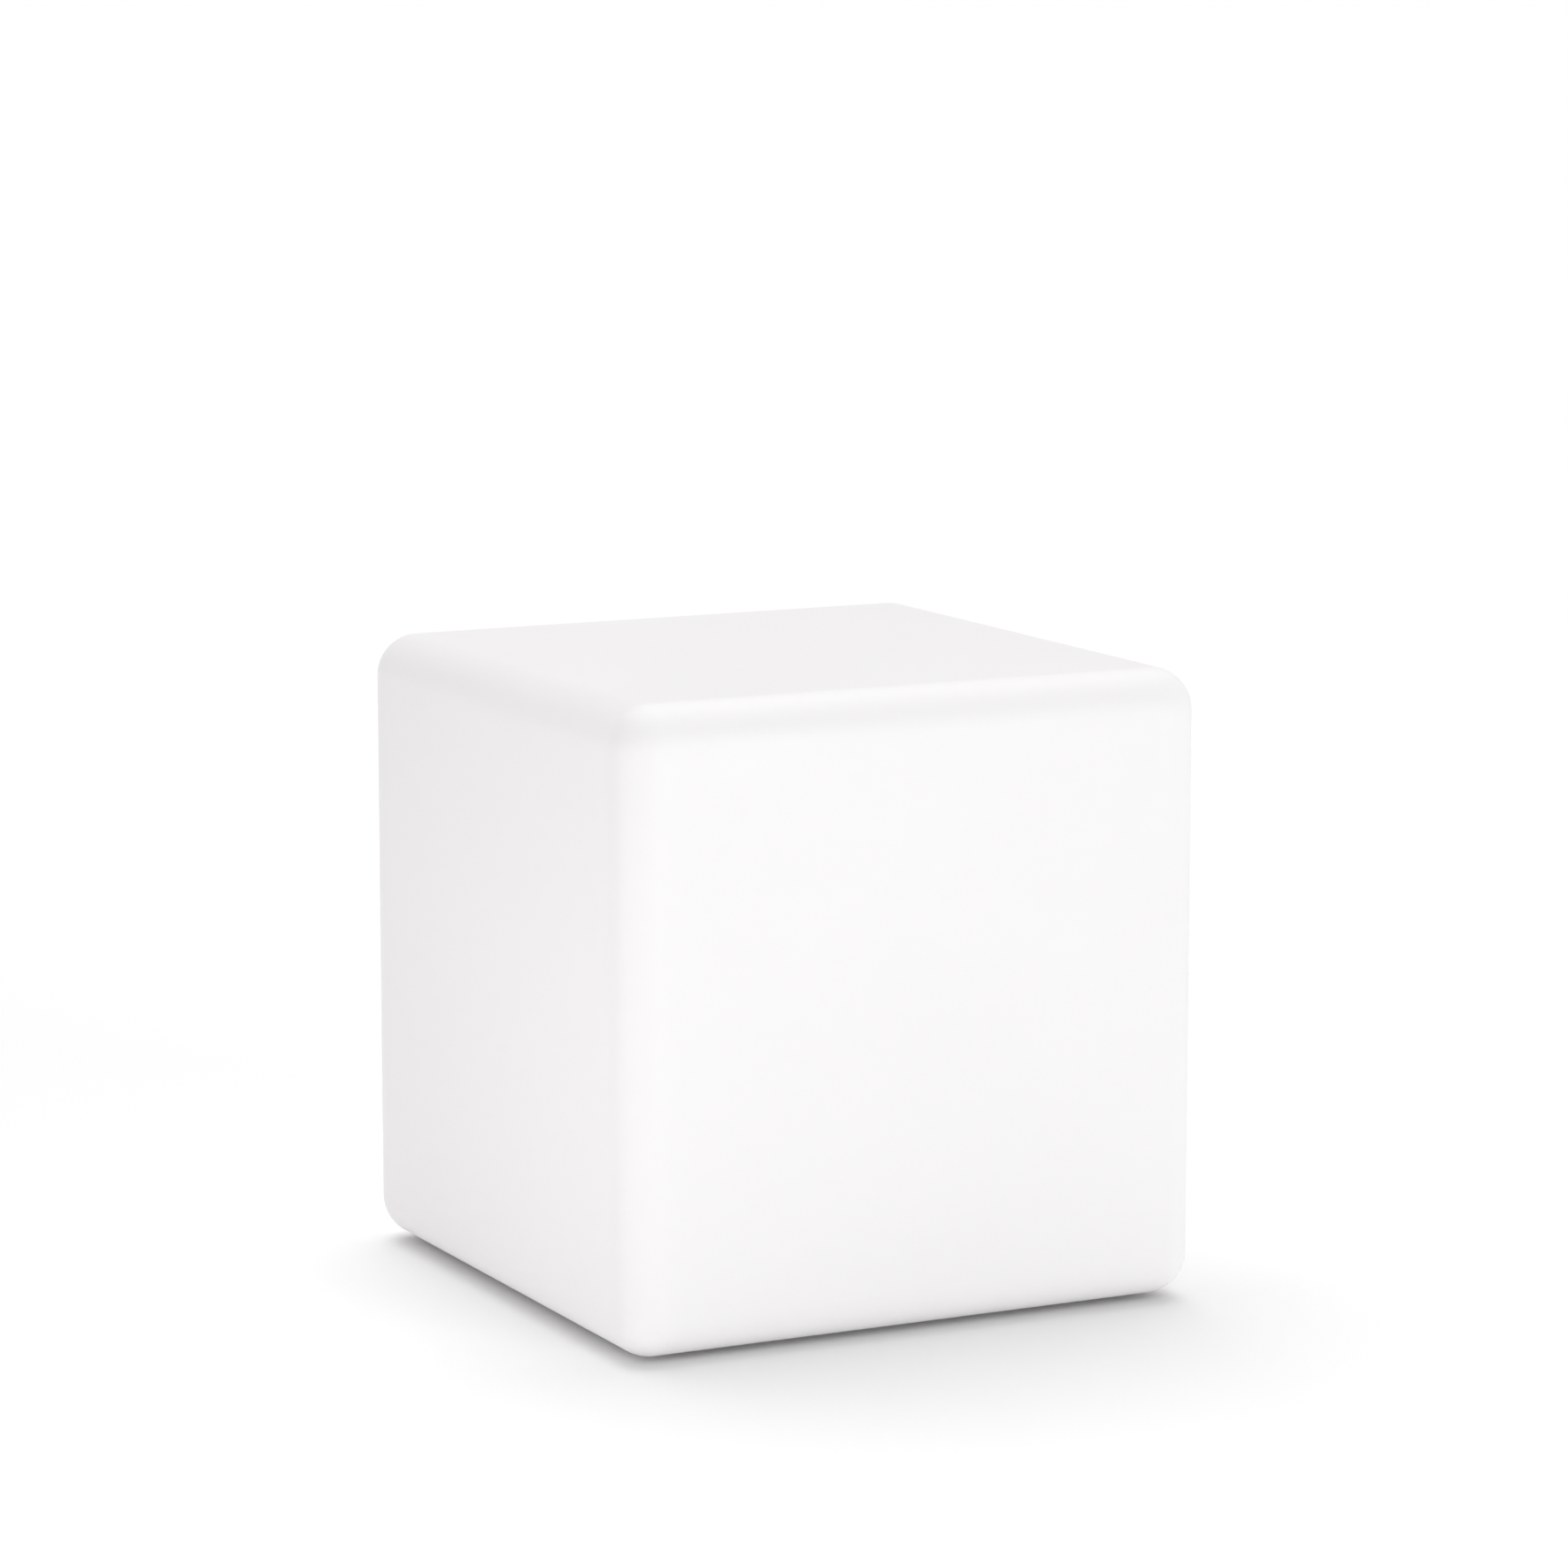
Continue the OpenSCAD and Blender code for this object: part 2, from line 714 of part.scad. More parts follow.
module holder_dome() {
    collar_r = collar_d / 2;
    inner_arc = dome_arc - holder_wall;
    arc_z = collar_h + dome_arc;
    bore_r = nipple_d / 2 + thread_gap;
    color("whitesmoke") translate([0, 0, bracket_z]) rotate_extrude() polygon(concat(
        [[bore_r, 0], [collar_r, 0]],
        arc(collar_r, arc_z, dome_arc, 270, 360, 10),
        [[dome_r, dome_h], [dome_r - holder_wall, dome_h]],
        arc(collar_r, arc_z, inner_arc, 360, 270, 10),
        [[bore_r, arc_z - inner_arc]]
    ));
}

module holder_core() {
    core_r = dome_r - holder_wall - fit_gap;
    color("ivory") difference() {
        union() {
            translate([0, 0, core_z]) cylinder(r = core_r, h = core_top_z - core_z);
            translate([0, 0, core_top_z - core_flange_h]) cylinder(r = dome_r - fit_gap, h = core_flange_h);
        }
        for (side = [-1, 1])
            translate([side * clamp_x - clamp_w / 2 - fit_gap, -clamp_l / 2 - fit_gap, core_z - through])
                cube([clamp_w + 2 * fit_gap, clamp_l + 2 * fit_gap, clamp_h + through]);
    }
}

module holder_skirt() {
    r = holder_d / 2;
    inner = r - holder_wall;
    liner_out = liner_r + holder_wall;
    color("whitesmoke") {
        rotate_extrude() polygon([
            [inner, skirt_z], [r, skirt_z], [r, rim_z - 1], [r - 1, rim_z], [liner_r + 1, rim_z],
            [liner_r, rim_z - 1], [liner_r, core_top_z], [liner_out, core_top_z],
            [liner_out, rim_z - rim_t], [inner, rim_z - rim_t]
        ]);
        for (i = [0:grip_ribs - 1])
            rotate([0, 0, 360 * i / grip_ribs]) translate([r, 0, skirt_z + 2])
                cylinder(r = rib_r, h = rim_h - 6, $fn = 24);
    }
}

module holder_screw_shell() {
    lap = 2.5;
    color("goldenrod") translate([0, 0, core_top_z]) rotate_extrude() polygon([
        [socket_r - lap, 0], [socket_r + socket_t, 0], [socket_r + socket_t, socket_h],
        [socket_r, socket_h], [socket_r, socket_t], [socket_r - lap, socket_t]
    ]);
}

module holder_contact() {
    low = core_top_z + contact_t / 2;
    high = tip_z - rest_gap - contact_t / 2;
    color("goldenrod") rotate([90, 0, 0]) linear_extrude(contact_w, center = true)
        sheet([[-9, low, 0], [-4, low, 1], [-1, high, 1], [4, high, 0]], contact_t);
}

module holder_terminals() {
    depth = core_z + clamp_h;
    color("goldenrod") for (side = [-1, 1]) difference() {
        translate([side * clamp_x - clamp_w / 2, -clamp_l / 2, core_z]) cube([clamp_w, clamp_l, clamp_h]);
        translate([side * clamp_x, clamp_lead_y, core_z - through])
            cylinder(r = lead_d / 2 + rest_gap, h = clamp_h - 1 + through, $fn = 32);
        translate([side * clamp_x, clamp_screw_y, core_z - through])
            cylinder(r = small_screw_d / 2 + thread_gap, h = depth - core_z - 1 + through, $fn = 32);
    }
}

module holder_terminal_screws() {
    color("silver") for (side = [-1, 1]) translate([side * clamp_x, clamp_screw_y, core_z]) {
        translate([0, 0, -small_head_h]) cylinder(r = small_head_d / 2, h = small_head_h);
        cylinder(r = small_screw_d / 2, h = clamp_h - 1.5);
    }
}

module terminal_block() {
    bar_h = pole_z - seat_z + sleeve_r + 1;
    color("whitesmoke") difference() {
        union() {
            at_poles() {
                translate([-tower_r, -pole_l / 2, seat_z]) cube([2 * tower_r, pole_l, bar_h]);
                for (side = [-1, 1]) translate([0, side * tower_y, seat_z])
                    cylinder(r = tower_r, h = tower_h);
            }
            at_block() translate([-ear_x, -ear_w / 2, seat_z]) cube([2 * ear_x, ear_w, ear_t]);
            at_ears() translate([0, 0, seat_z]) cylinder(r = ear_w / 2, h = ear_t);
        }
        at_poles() translate([0, 0, pole_z]) rotate([90, 0, 0])
            cylinder(r = sleeve_r + thread_gap, h = pole_l + 2 * through, center = true);
        at_poles() for (side = [-1, 1]) translate([0, side * tower_y, pole_z])
            cylinder(r = pole_head_d / 2 + fit_gap, h = tower_h);
        at_ears() translate([0, 0, seat_z - through])
            cylinder(r = stud_d / 2 + fit_gap, h = ear_t + 2 * through);
    }
}

module terminal_sleeves() {
    color("goldenrod") at_poles() translate([0, 0, pole_z]) difference() {
        rotate([90, 0, 0]) cylinder(r = sleeve_r, h = sleeve_l, center = true);
        rotate([90, 0, 0]) cylinder(r = sleeve_bore_r, h = sleeve_l + 2 * through, center = true);
        for (side = [-1, 1]) translate([0, side * tower_y, 0])
            cylinder(r = pole_screw_d / 2 + thread_gap, h = sleeve_r + through);
    }
}

module terminal_screws() {
    top = seat_z + tower_h - 2;
    tip = pole_z + lead_d / 2 + rest_gap;
    color("silver") at_poles() for (side = [-1, 1]) translate([0, side * tower_y, 0]) {
        translate([0, 0, tip]) cylinder(r = pole_screw_d / 2, h = top - tip);
        translate([0, 0, top - pole_head_h]) cylinder(r = pole_head_d / 2, h = pole_head_h);
    }
}

module terminal_nuts() {
    color("silver") at_ears() translate([0, 0, seat_z + ear_t]) hex_nut(nut_flat, nut_h, stud_d);
}

// A lead from the connector over the edge of the roof and up through the nipple
module lamp_lead(x, climb_x, top) {
    lead(concat(from_pole(x), up_the_hat(climb_x), shifted(top, [0, 0, bracket_z])));
}

module lead_live() {
    color("saddlebrown") lamp_lead(0, climb_live_x, route_live_top);
}

module lead_neutral() {
    color("royalblue") lamp_lead(pole_pitch, climb_neutral_x, route_neutral_top);
}

module earth_lead() {
    stud = [earth_x, earth_y, seat_z];
    color("limegreen") lead(concat(
        from_pole(-pole_pitch),
        shifted([[-14, 13, 5.6], [-22, 14.6, 4]], [0, -ring_r, seat_z]),
        [stud + tag_axis * 18.5 + [0, 0, barrel_r + 0.4]],
        [for (d = [13.5, 7.5]) stud + tag_axis * d + [0, 0, barrel_r]]
    ));
}

module earth_tag() {
    color("silver") translate([earth_x, earth_y, seat_z]) rotate([0, 0, tag_turn]) difference() {
        union() {
            cylinder(r = tag_ring_r, h = tag_t);
            translate([0, -barrel_r, 0]) cube([barrel_x + 1, 2 * barrel_r, tag_t]);
            translate([barrel_x, 0, barrel_r]) rotate([0, 90, 0]) cylinder(r = barrel_r, h = barrel_l);
        }
        translate([0, 0, -through]) cylinder(r = stud_d / 2 + fit_gap, h = tag_t + 2 * through);
        translate([barrel_x + 1, 0, barrel_r]) rotate([0, 90, 0])
            cylinder(r = lead_d / 2 + rest_gap, h = barrel_l);
    }
}

module earth_nut() {
    color("silver") translate([earth_x, earth_y, seat_z + tag_t]) hex_nut(nut_flat, nut_h, stud_d);
}

module bulb_contact() {
    dome_h = 1.2;
    color("silver") translate([0, 0, tip_z]) rotate_extrude() polygon([
        [0, 0], [contact_r / 2, dome_h / 4], [contact_r, dome_h], [contact_r, contact_h], [0, contact_h]
    ]);
}

module bulb_insulator() {
    color("black") translate([0, 0, tip_z + contact_h]) rotate_extrude() polygon([
        [0, 0], [contact_r + 0.8, 0], [insulator_r, insulator_h - 0.6], [insulator_r, insulator_h],
        [0, insulator_h]
    ]);
}

module bulb_cap() {
    centre_r = cap_r - cap_t / 2;
    color("silver") translate([0, 0, tip_z]) rotate_extrude() sheet([
        [centre_r - 4, cap_z + cap_t / 2, 0], [centre_r, cap_z + cap_t / 2, 1], [centre_r, cap_h, 0]
    ], cap_t);
}

// Radius of the bulb's cone at a height above the tip; it runs into the globe without a corner
function cone_r(z) = blend(
    neck_r, globe_edge_r, 0.05, globe_drop / globe_edge_r,
    globe_edge - cap_h, (z - cap_h) / (globe_edge - cap_h)
);

module bulb_housing() {
    steps = 12;
    web = 1.5;
    seat = globe_edge - board_sink;
    inner_low = cap_h + 3;
    color("white") translate([0, 0, tip_z]) rotate_extrude() polygon(concat(
        [[spigot_in_r, cap_h - spigot_l], [spigot_r, cap_h - spigot_l], [spigot_r, cap_h]],
        [for (i = [0:steps]) let (z = cap_h + (globe_edge - cap_h) * i / steps) [cone_r(z), z]],
        [[globe_in_r, globe_edge], [globe_in_r, seat], [0, seat], [0, seat - web]],
        [
            for (i = [steps:-1:0])
                let (z = inner_low + (seat - web - inner_low) * i / steps)
                [cone_r(z) - housing_t, z]
        ],
        [[spigot_in_r, cap_h]]
    ));
}

module bulb_board() {
    color("silver") translate([0, 0, tip_z + globe_edge - board_sink])
        cylinder(r = globe_in_r - fit_gap, h = board_t);
}

module bulb_chips() {
    color("khaki") for (i = [0:chip_count - 1]) rotate([0, 0, 360 * i / chip_count])
        translate([chip_circle_r - chip_w / 2, -chip_w / 2, tip_z + globe_edge - board_sink + board_t])
            cube([chip_w, chip_w, chip_h]);
}

module bulb_globe() {
    color("white") translate([0, 0, tip_z]) rotate_extrude() intersection() {
        translate([0, globe_z]) difference() {
            circle(globe_r);
            circle(globe_r - globe_t);
        }
        translate([0, globe_edge]) square([bulb_d, bulb_l]);
    }
}

shell();
shell_corners();
shell_underside();
shell_neck();
shell_channel();
insert(0);  // insert_1
insert(1);  // insert_2
insert(2);  // insert_3
insert(3);  // insert_4
base_pan();
weld_studs();
base_gasket();
foot(0);  // foot_1
foot(1);  // foot_2
foot(2);  // foot_3
foot(3);  // foot_4
foot_washers();
base_screws();
gland_body();
gland_nut();
gland_grommet();
gland_washer();
gland_locknut();
holder_bracket();
bracket_nuts();
nipple();
nipple_locknut();
holder_dome();
holder_core();
holder_skirt();
holder_screw_shell();
holder_contact();
holder_terminals();
holder_terminal_screws();
terminal_block();
terminal_sleeves();
terminal_screws();
terminal_nuts();
lead_live();
lead_neutral();
earth_lead();
earth_tag();
earth_nut();
bulb_contact();
bulb_insulator();
bulb_cap();
bulb_housing();
bulb_board();
bulb_chips();
bulb_globe();
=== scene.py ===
import bmesh
import bpy
import numpy as np
from math import acos, cos, pi, radians, sin, tan
from mathutils import Matrix, Vector


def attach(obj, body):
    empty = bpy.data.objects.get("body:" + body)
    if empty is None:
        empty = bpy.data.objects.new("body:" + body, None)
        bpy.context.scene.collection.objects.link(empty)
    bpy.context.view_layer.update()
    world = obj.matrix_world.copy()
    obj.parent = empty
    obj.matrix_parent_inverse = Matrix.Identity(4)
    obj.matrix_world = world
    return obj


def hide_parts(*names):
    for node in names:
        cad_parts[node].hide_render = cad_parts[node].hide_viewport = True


# Outdoor cube light: a moulded white cube over a pressed steel base with a lamp holder and a bulb.
# Sizes in the dictionaries are millimetres, as in the model's source; meshes are metres.
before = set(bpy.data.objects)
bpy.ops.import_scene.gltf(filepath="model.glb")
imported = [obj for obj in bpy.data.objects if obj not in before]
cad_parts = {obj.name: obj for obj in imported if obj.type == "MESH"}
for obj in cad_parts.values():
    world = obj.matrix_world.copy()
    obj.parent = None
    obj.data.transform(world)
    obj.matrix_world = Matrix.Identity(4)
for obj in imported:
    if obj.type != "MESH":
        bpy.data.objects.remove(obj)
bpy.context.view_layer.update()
mm = 0.001


# Colours, nodes and finishes

def linear(code):
    # sRGB hex to linear light: the lower part is a straight line, the rest a power curve
    c = np.array([int(code[i:i + 2], 16) for i in (1, 3, 5)]) / 255
    return tuple(np.where(c <= 0.04045, c / 12.92, ((c + 0.055) / 1.055) ** 2.4)) + (1.0,)


def add(tree, kind, settings=(), **links):
    # one node with its sockets' settings; each link names a socket, with _ for a space, and gives
    # the node and the output that feed it
    made = tree.nodes.new(kind)
    for key, value in dict(settings).items():
        made.inputs[key].default_value = value
    for key, (source, output) in links.items():
        tree.links.new(source.outputs[output], made.inputs[key.replace("_", " ")])
    return made


def grain(sizeMm, depthMm, stretch=(1.0, 1.0, 1.0)):
    # a relief layer of soft noise, drawn out where stretch is below one
    return "ShaderNodeTexNoise", {"Scale": 1000 / sizeMm, "Detail": 3.0}, "Fac", depthMm, stretch


def cells(sizeMm, depthMm):
    # a relief layer of cells: the distance to the nearest of many scattered points
    return "ShaderNodeTexVoronoi", {"Scale": 1000 / sizeMm}, "Distance", depthMm, (1.0, 1.0, 1.0)


def finish(name, tones, toneMm, roughness, sockets, *relief):
    # a Principled surface: two tones mixed by soft noise, a roughness that wanders by the same
    # noise (most of which lies between 0.35 and 0.65), and relief layers, each a height that bends
    # the normal of the layer before it
    made = bpy.data.materials.new(name)
    made.use_nodes = True
    tree = made.node_tree
    tree.nodes.clear()
    shader = add(tree, "ShaderNodeBsdfPrincipled", sockets)
    add(tree, "ShaderNodeOutputMaterial", Surface=(shader, "BSDF"))
    spot = add(tree, "ShaderNodeTexCoord")
    cloud = add(tree, "ShaderNodeTexNoise",
                {"Scale": 1000 / toneMm, "Detail": 4.0, "Roughness": 0.55}, Vector=(spot, "Object"))
    tone = add(tree, "ShaderNodeMixRGB", {"Color1": linear(tones[0]), "Color2": linear(tones[1])},
               Fac=(cloud, "Fac"))
    tree.links.new(tone.outputs["Color"], shader.inputs["Base Color"])
    wander = add(tree, "ShaderNodeMapRange",
                 {"From Min": 0.35, "From Max": 0.65, "To Min": roughness[0], "To Max": roughness[1]},
                 Value=(cloud, "Fac"))
    tree.links.new(wander.outputs["Result"], shader.inputs["Roughness"])
    under = None
    for kind, settings, output, depthMm, stretch in relief:
        drawn = add(tree, "ShaderNodeMapping", {"Scale": stretch}, Vector=(spot, "Object"))
        height = add(tree, kind, settings, Vector=(drawn, "Vector"))
        bump = add(tree, "ShaderNodeBump", {"Strength": 1.0, "Distance": depthMm * mm},
                   Height=(height, output))
        if under:
            tree.links.new(under.outputs["Normal"], bump.inputs["Normal"])
        under = bump
    if under:
        tree.links.new(under.outputs["Normal"], shader.inputs["Normal"])
    return made


# Each finish: name, two tones, millimetres of their clouds, roughness from and to, the shader's
# other sockets, relief layers with their size and depth in millimetres
metal, rubber = {"Metallic": 1.0}, {"IOR": 1.52, "Specular IOR Level": 0.35}
acrossZ = (0.04, 0.04, 1.0)  # noise drawn out sideways, so that it makes fine rings about Z
alongX = (0.06, 1.0, 1.0)  # noise drawn out along X, as rolled strip shows

# Rotomoulded polyethylene, white: it takes a matt, faintly waxy skin from the mould, light sinks a
# few millimetres into it, and the wall is never quite even, which clouds it slightly
polyethylene = finish("rotomoulded_polyethylene", ("#f3f1f1", "#f2f0f0"), 120, (0.52, 0.58),
    {"IOR": 1.51, "Subsurface Weight": 0.12, "Subsurface Radius": (1.0, 0.92, 0.88),
     "Subsurface Scale": 0.004}, grain(70, 0.02), grain(1.6, 0.006))
# Powder-coated steel, white: baked powder flows into a fine orange peel with a soft gloss
powderCoat = finish("powder_coated_steel", ("#e9e8e4", "#e3e2de"), 40, (0.34, 0.44),
    {"IOR": 1.5, "Coat Weight": 0.15, "Coat Roughness": 0.3}, grain(1.3, 0.03))
# Zinc-plated steel, clear passivated: bluish grey, slightly cloudy, finely turned
zincPlate = finish("zinc_plated_steel", ("#c3c7ca", "#aeb2b8"), 5, (0.26, 0.4),
    metal, grain(0.25, 0.006, acrossZ))
# Galvanised steel strip: rolled lines along the strip under a cloudy zinc skin
galvanisedStrip = finish("galvanised_strip", ("#c2c4c5", "#a5a9ad"), 9, (0.3, 0.48),
    metal, grain(0.4, 0.008, alongX), cells(6, 0.01))
# Turned brass: warm yellow, fine tool rings, a little dulled in patches
turnedBrass = finish("turned_brass", ("#e0c07a", "#c9a45c"), 4, (0.2, 0.34),
    metal, grain(0.22, 0.008, acrossZ))
# Rolled phosphor bronze for springs: redder than brass, satin
springBronze = finish("rolled_phosphor_bronze", ("#cf9e78", "#b98660"), 5, (0.25, 0.38),
    metal, grain(0.3, 0.005, alongX))
# Moulded EPDM rubber: near black, matt, with a greyish bloom
sealRubber = finish("moulded_epdm_rubber", ("#1c1c1d", "#29292a"), 12, (0.62, 0.78),
    rubber, grain(0.9, 0.03))
# The feet are the same rubber in a rougher, spark-eroded mould
footRubber = finish("eroded_mould_rubber", ("#232324", "#333231"), 8, (0.7, 0.86),
    rubber, grain(0.6, 0.06), cells(1.4, 0.03))
# Moulded polyamide, light grey: semi-matt with a fine eroded grain
greyNylon = finish("moulded_polyamide", ("#c9cbc9", "#bfc1bf"), 14, (0.4, 0.5),
    {"IOR": 1.53, "Subsurface Weight": 0.05, "Subsurface Scale": 0.001}, grain(0.5, 0.015))
# Thermoset lamp-holder moulding: ivory white, hard and fairly glossy
thermoset = finish("moulded_thermoset", ("#eeebe2", "#e8e4da"), 18, (0.24, 0.34),
    {"IOR": 1.56}, grain(2.5, 0.02))
# Unglazed porcelain: chalky white with a fine fired grain
porcelain = finish("unglazed_porcelain", ("#f0ede4", "#e6e1d5"), 7, (0.55, 0.7),
    {"IOR": 1.5}, grain(0.7, 0.03))
# Natural polyamide of the connector: milky, lets some light in
milkyNylon = finish("natural_polyamide", ("#ebe7da", "#e2ddcd"), 10, (0.32, 0.42),
    {"IOR": 1.53, "Subsurface Weight": 0.3, "Subsurface Radius": (1.0, 0.9, 0.7),
     "Subsurface Scale": 0.002}, grain(1.0, 0.015))
# Extruded silicone insulation: satin, with faint die lines
silicone = {}
for colour, tones in {"brown": ("#5b3318", "#4c2a13"), "blue": ("#2456a6", "#1c4a94"),
                      "green": ("#3f9337", "#35822f"), "yellow": ("#e7cc2b", "#dabd22")}.items():
    silicone[colour] = finish("extruded_silicone_" + colour, tones, 6, (0.38, 0.48),
        {"IOR": 1.43, "Specular IOR Level": 0.45}, grain(0.8, 0.01))
# Tinned copper: soft, bright and slightly smeared
tinnedCopper = finish("tinned_copper", ("#d3d2ce", "#bcbab5"), 3, (0.24, 0.4), metal, grain(0.8, 0.01))
# Solder: dull grey blob with flow marks
solder = finish("solder", ("#bdbdbb", "#9d9d9c"), 2.5, (0.3, 0.5), metal, grain(1.5, 0.06))
# Fused black glass between the cap and its contact: glossy with small bubbles
blackGlass = finish("fused_black_glass", ("#0d0d10", "#16161a"), 4, (0.12, 0.2),
    {"IOR": 1.55}, cells(1.2, 0.02))
# Nickel-plated brass cap: warm silver, drawn and then rolled
nickelPlate = finish("nickel_plated_brass", ("#d2cfc6", "#c3bfb5"), 5, (0.16, 0.28),
    metal, grain(0.3, 0.004, acrossZ))
# Moulded polycarbonate cone of the bulb: clean white, silky
bulbPlastic = finish("moulded_polycarbonate", ("#f1f1ef", "#ececea"), 25, (0.26, 0.34),
    {"IOR": 1.58, "Coat Weight": 0.1, "Coat Roughness": 0.2}, grain(1.8, 0.008))
# White solder mask on the aluminium board
solderMask = finish("white_solder_mask", ("#edeeec", "#e4e5e3"), 6, (0.3, 0.42),
    {"IOR": 1.5, "Coat Weight": 0.2, "Coat Roughness": 0.25}, grain(0.8, 0.01))
# Yellow phosphor in the chips, under clear silicone
phosphor = finish("led_phosphor", ("#f0cf45", "#e3bb2c"), 1.2, (0.2, 0.3),
    {"IOR": 1.43, "Subsurface Weight": 0.2, "Subsurface Scale": 0.0005}, grain(0.3, 0.01))
# Opal diffuser: milky polycarbonate, matt like fine frosted glass
opal = finish("opal_polycarbonate", ("#f6f5f1", "#f3f2ee"), 30, (0.36, 0.44),
    {"IOR": 1.58, "Subsurface Weight": 0.35, "Subsurface Radius": (1.0, 0.95, 0.9),
     "Subsurface Scale": 0.002}, grain(0.7, 0.004))
print("materials:", len(bpy.data.materials))


# Surfaces: grids of points in millimetres

def grid(points, closeU=False, closeV=False):
    # four-sided faces between neighbouring points of an array [u, v, xyz]; a closed direction
    # also joins its last row to its first
    nu, nv = points.shape[:2]
    index = np.arange(nu * nv).reshape(nu, nv)
    nextU, nextV = np.roll(index, -1, 0), np.roll(index, -1, 1)
    faces = np.stack([index, nextU, np.roll(nextU, -1, 1), nextV], 2)
    faces = faces[:nu if closeU else nu - 1, :nv if closeV else nv - 1]
    return points.reshape(-1, 3), faces.reshape(-1, 4)


def join(*parts):
    # several grids as one: each one's faces count on from the points before it
    starts = np.cumsum([0] + [len(points) for points, _ in parts[:-1]])
    return (np.concatenate([points for points, _ in parts]),
            np.concatenate([faces + start for (_, faces), start in zip(parts, starts)]))


def place(part, at=(0, 0, 0), turn=0, tilt=0):
    # a grid tilted about X, then turned about Z (degrees), then moved
    spin = Matrix.Rotation(radians(turn), 3, "Z") @ Matrix.Rotation(radians(tilt), 3, "X")
    return part[0] @ np.array(spin).T + np.array(at, float), part[1]


def bent(corners, steps=8):
    # a path of [x, y, radius] with each corner replaced by the arc that touches both its legs
    out = []
    for i, (x, y, radius) in enumerate(corners):
        corner = np.array([x, y], float)
        if radius <= 0:
            out.append(corner[None])
            continue
        legs = [np.array(corners[(i + k) % len(corners)][:2]) - corner for k in (-1, 1)]
        u, v = (leg / np.hypot(*leg) for leg in legs)
        half = acos(np.clip(u @ v, -1, 1)) / 2
        centre = corner + (u + v) / np.hypot(*(u + v)) * radius / sin(half)
        first = corner + u * radius / tan(half) - centre
        way = np.sign(u[1] * v[0] - u[0] * v[1])
        turn = way * (pi - 2 * half) * np.linspace(0, 1, steps + 1)[:, None]
        out.append(centre + np.hstack([first[0] * np.cos(turn) - first[1] * np.sin(turn),
                                       first[0] * np.sin(turn) + first[1] * np.cos(turn)]))
    return np.concatenate(out)


def sheet(corners, thickness, steps):
    # a bent path given a thickness: the path moved half of it to either side, along the mean of
    # the neighbouring legs' normals, and closed by edges with a slight round
    path = bent(corners, steps)
    legs = np.diff(path, axis=0)
    legs /= np.hypot(*legs.T)[:, None]
    before, after = np.vstack([legs[:1], legs]), np.vstack([legs, legs[-1:]])
    mean = before + after
    mean /= np.hypot(*mean.T)[:, None]
    normal = np.stack([-mean[:, 1], mean[:, 0]], 1)
    reach = (normal * np.stack([-before[:, 1], before[:, 0]], 1)).sum(1)[:, None]
    soft = 0.12  # the round of an edge, over the thickness
    inward = np.zeros_like(path)
    inward[0], inward[-1] = legs[0] * soft * thickness, -legs[-1] * soft * thickness
    side = normal / reach * thickness / 2
    ends = [path[k] + side[k] * s * (1 - 2 * soft) for k in (0, -1) for s in (1, -1)]
    return np.concatenate([[ends[1], ends[0]], path + side + inward, [ends[2], ends[3]],
                           (path - side + inward)[::-1]])


def fine(rows, step):
    # a profile with points added so that none are further apart than step
    rows = np.asarray(rows, float)
    long = np.hypot(*np.diff(rows[:, :2], axis=0).T)
    counts = np.maximum(np.ceil(long / step), 1).astype(int)
    return np.concatenate([np.linspace(a, b, n, endpoint=False)
                           for a, b, n in zip(rows, rows[1:], counts)] + [rows[-1:]])


def fromFlat(angle):
    # the angle from the middle of the nearest side of a hexagon: at most a twelfth of a turn
    return (angle + pi / 6) % (pi / 3) - pi / 6


def hexagonal(rows, flat):
    # rows of [radius, height] with half the width across the flats of a hexagon as a third column
    return np.column_stack([rows, np.broadcast_to(flat, len(rows))])


def lathe(rows, sides, shape=None, ring=False):
    # rows of [radius, height] or [radius, height, flat] carried round Z; with a flat the radius is
    # cut to a hexagon: min(radius, flat / cos(angle from the middle of the nearest side)); shape
    # is a function of radius, height and angle that returns the final radius; a ring's rows close
    rows = np.asarray(rows, float)
    angle = np.arange(sides)[None] * 2 * pi / sides
    radius, height = (np.repeat(rows[:, k:k + 1], sides, 1) for k in (0, 1))
    if rows.shape[1] > 2:
        radius = np.minimum(radius, rows[:, 2:3] / np.cos(fromFlat(angle)))
    if shape:
        radius = shape(radius, height, angle + 0 * height)
    return grid(np.stack([radius * np.cos(angle), radius * np.sin(angle), height], 2), ring, True)


def turned(corners, sides, steps=5):
    # a ring turned from corners [radius, height, round]
    return lathe(bent(corners, steps), sides, ring=True)


def smoothRoute(points):
    # Catmull-Rom curve through the points: a cubic between two of them whose end slopes are half
    # the step from the point before to the point after
    p = np.asarray(points, float)
    p = np.vstack([p[:1], p, p[-1:]])
    a, b, c, d = (p[k:len(p) - 3 + k, None] for k in range(4))
    t = np.linspace(0, 1, 8, endpoint=False)[None, :, None]
    curve = (b + (c - a) * t / 2 + (2 * a - 5 * b + 4 * c - d) * t**2 / 2
             + (3 * b - 3 * c + d - a) * t**3 / 2)
    return np.vstack([curve.reshape(-1, 3), p[-1:]])


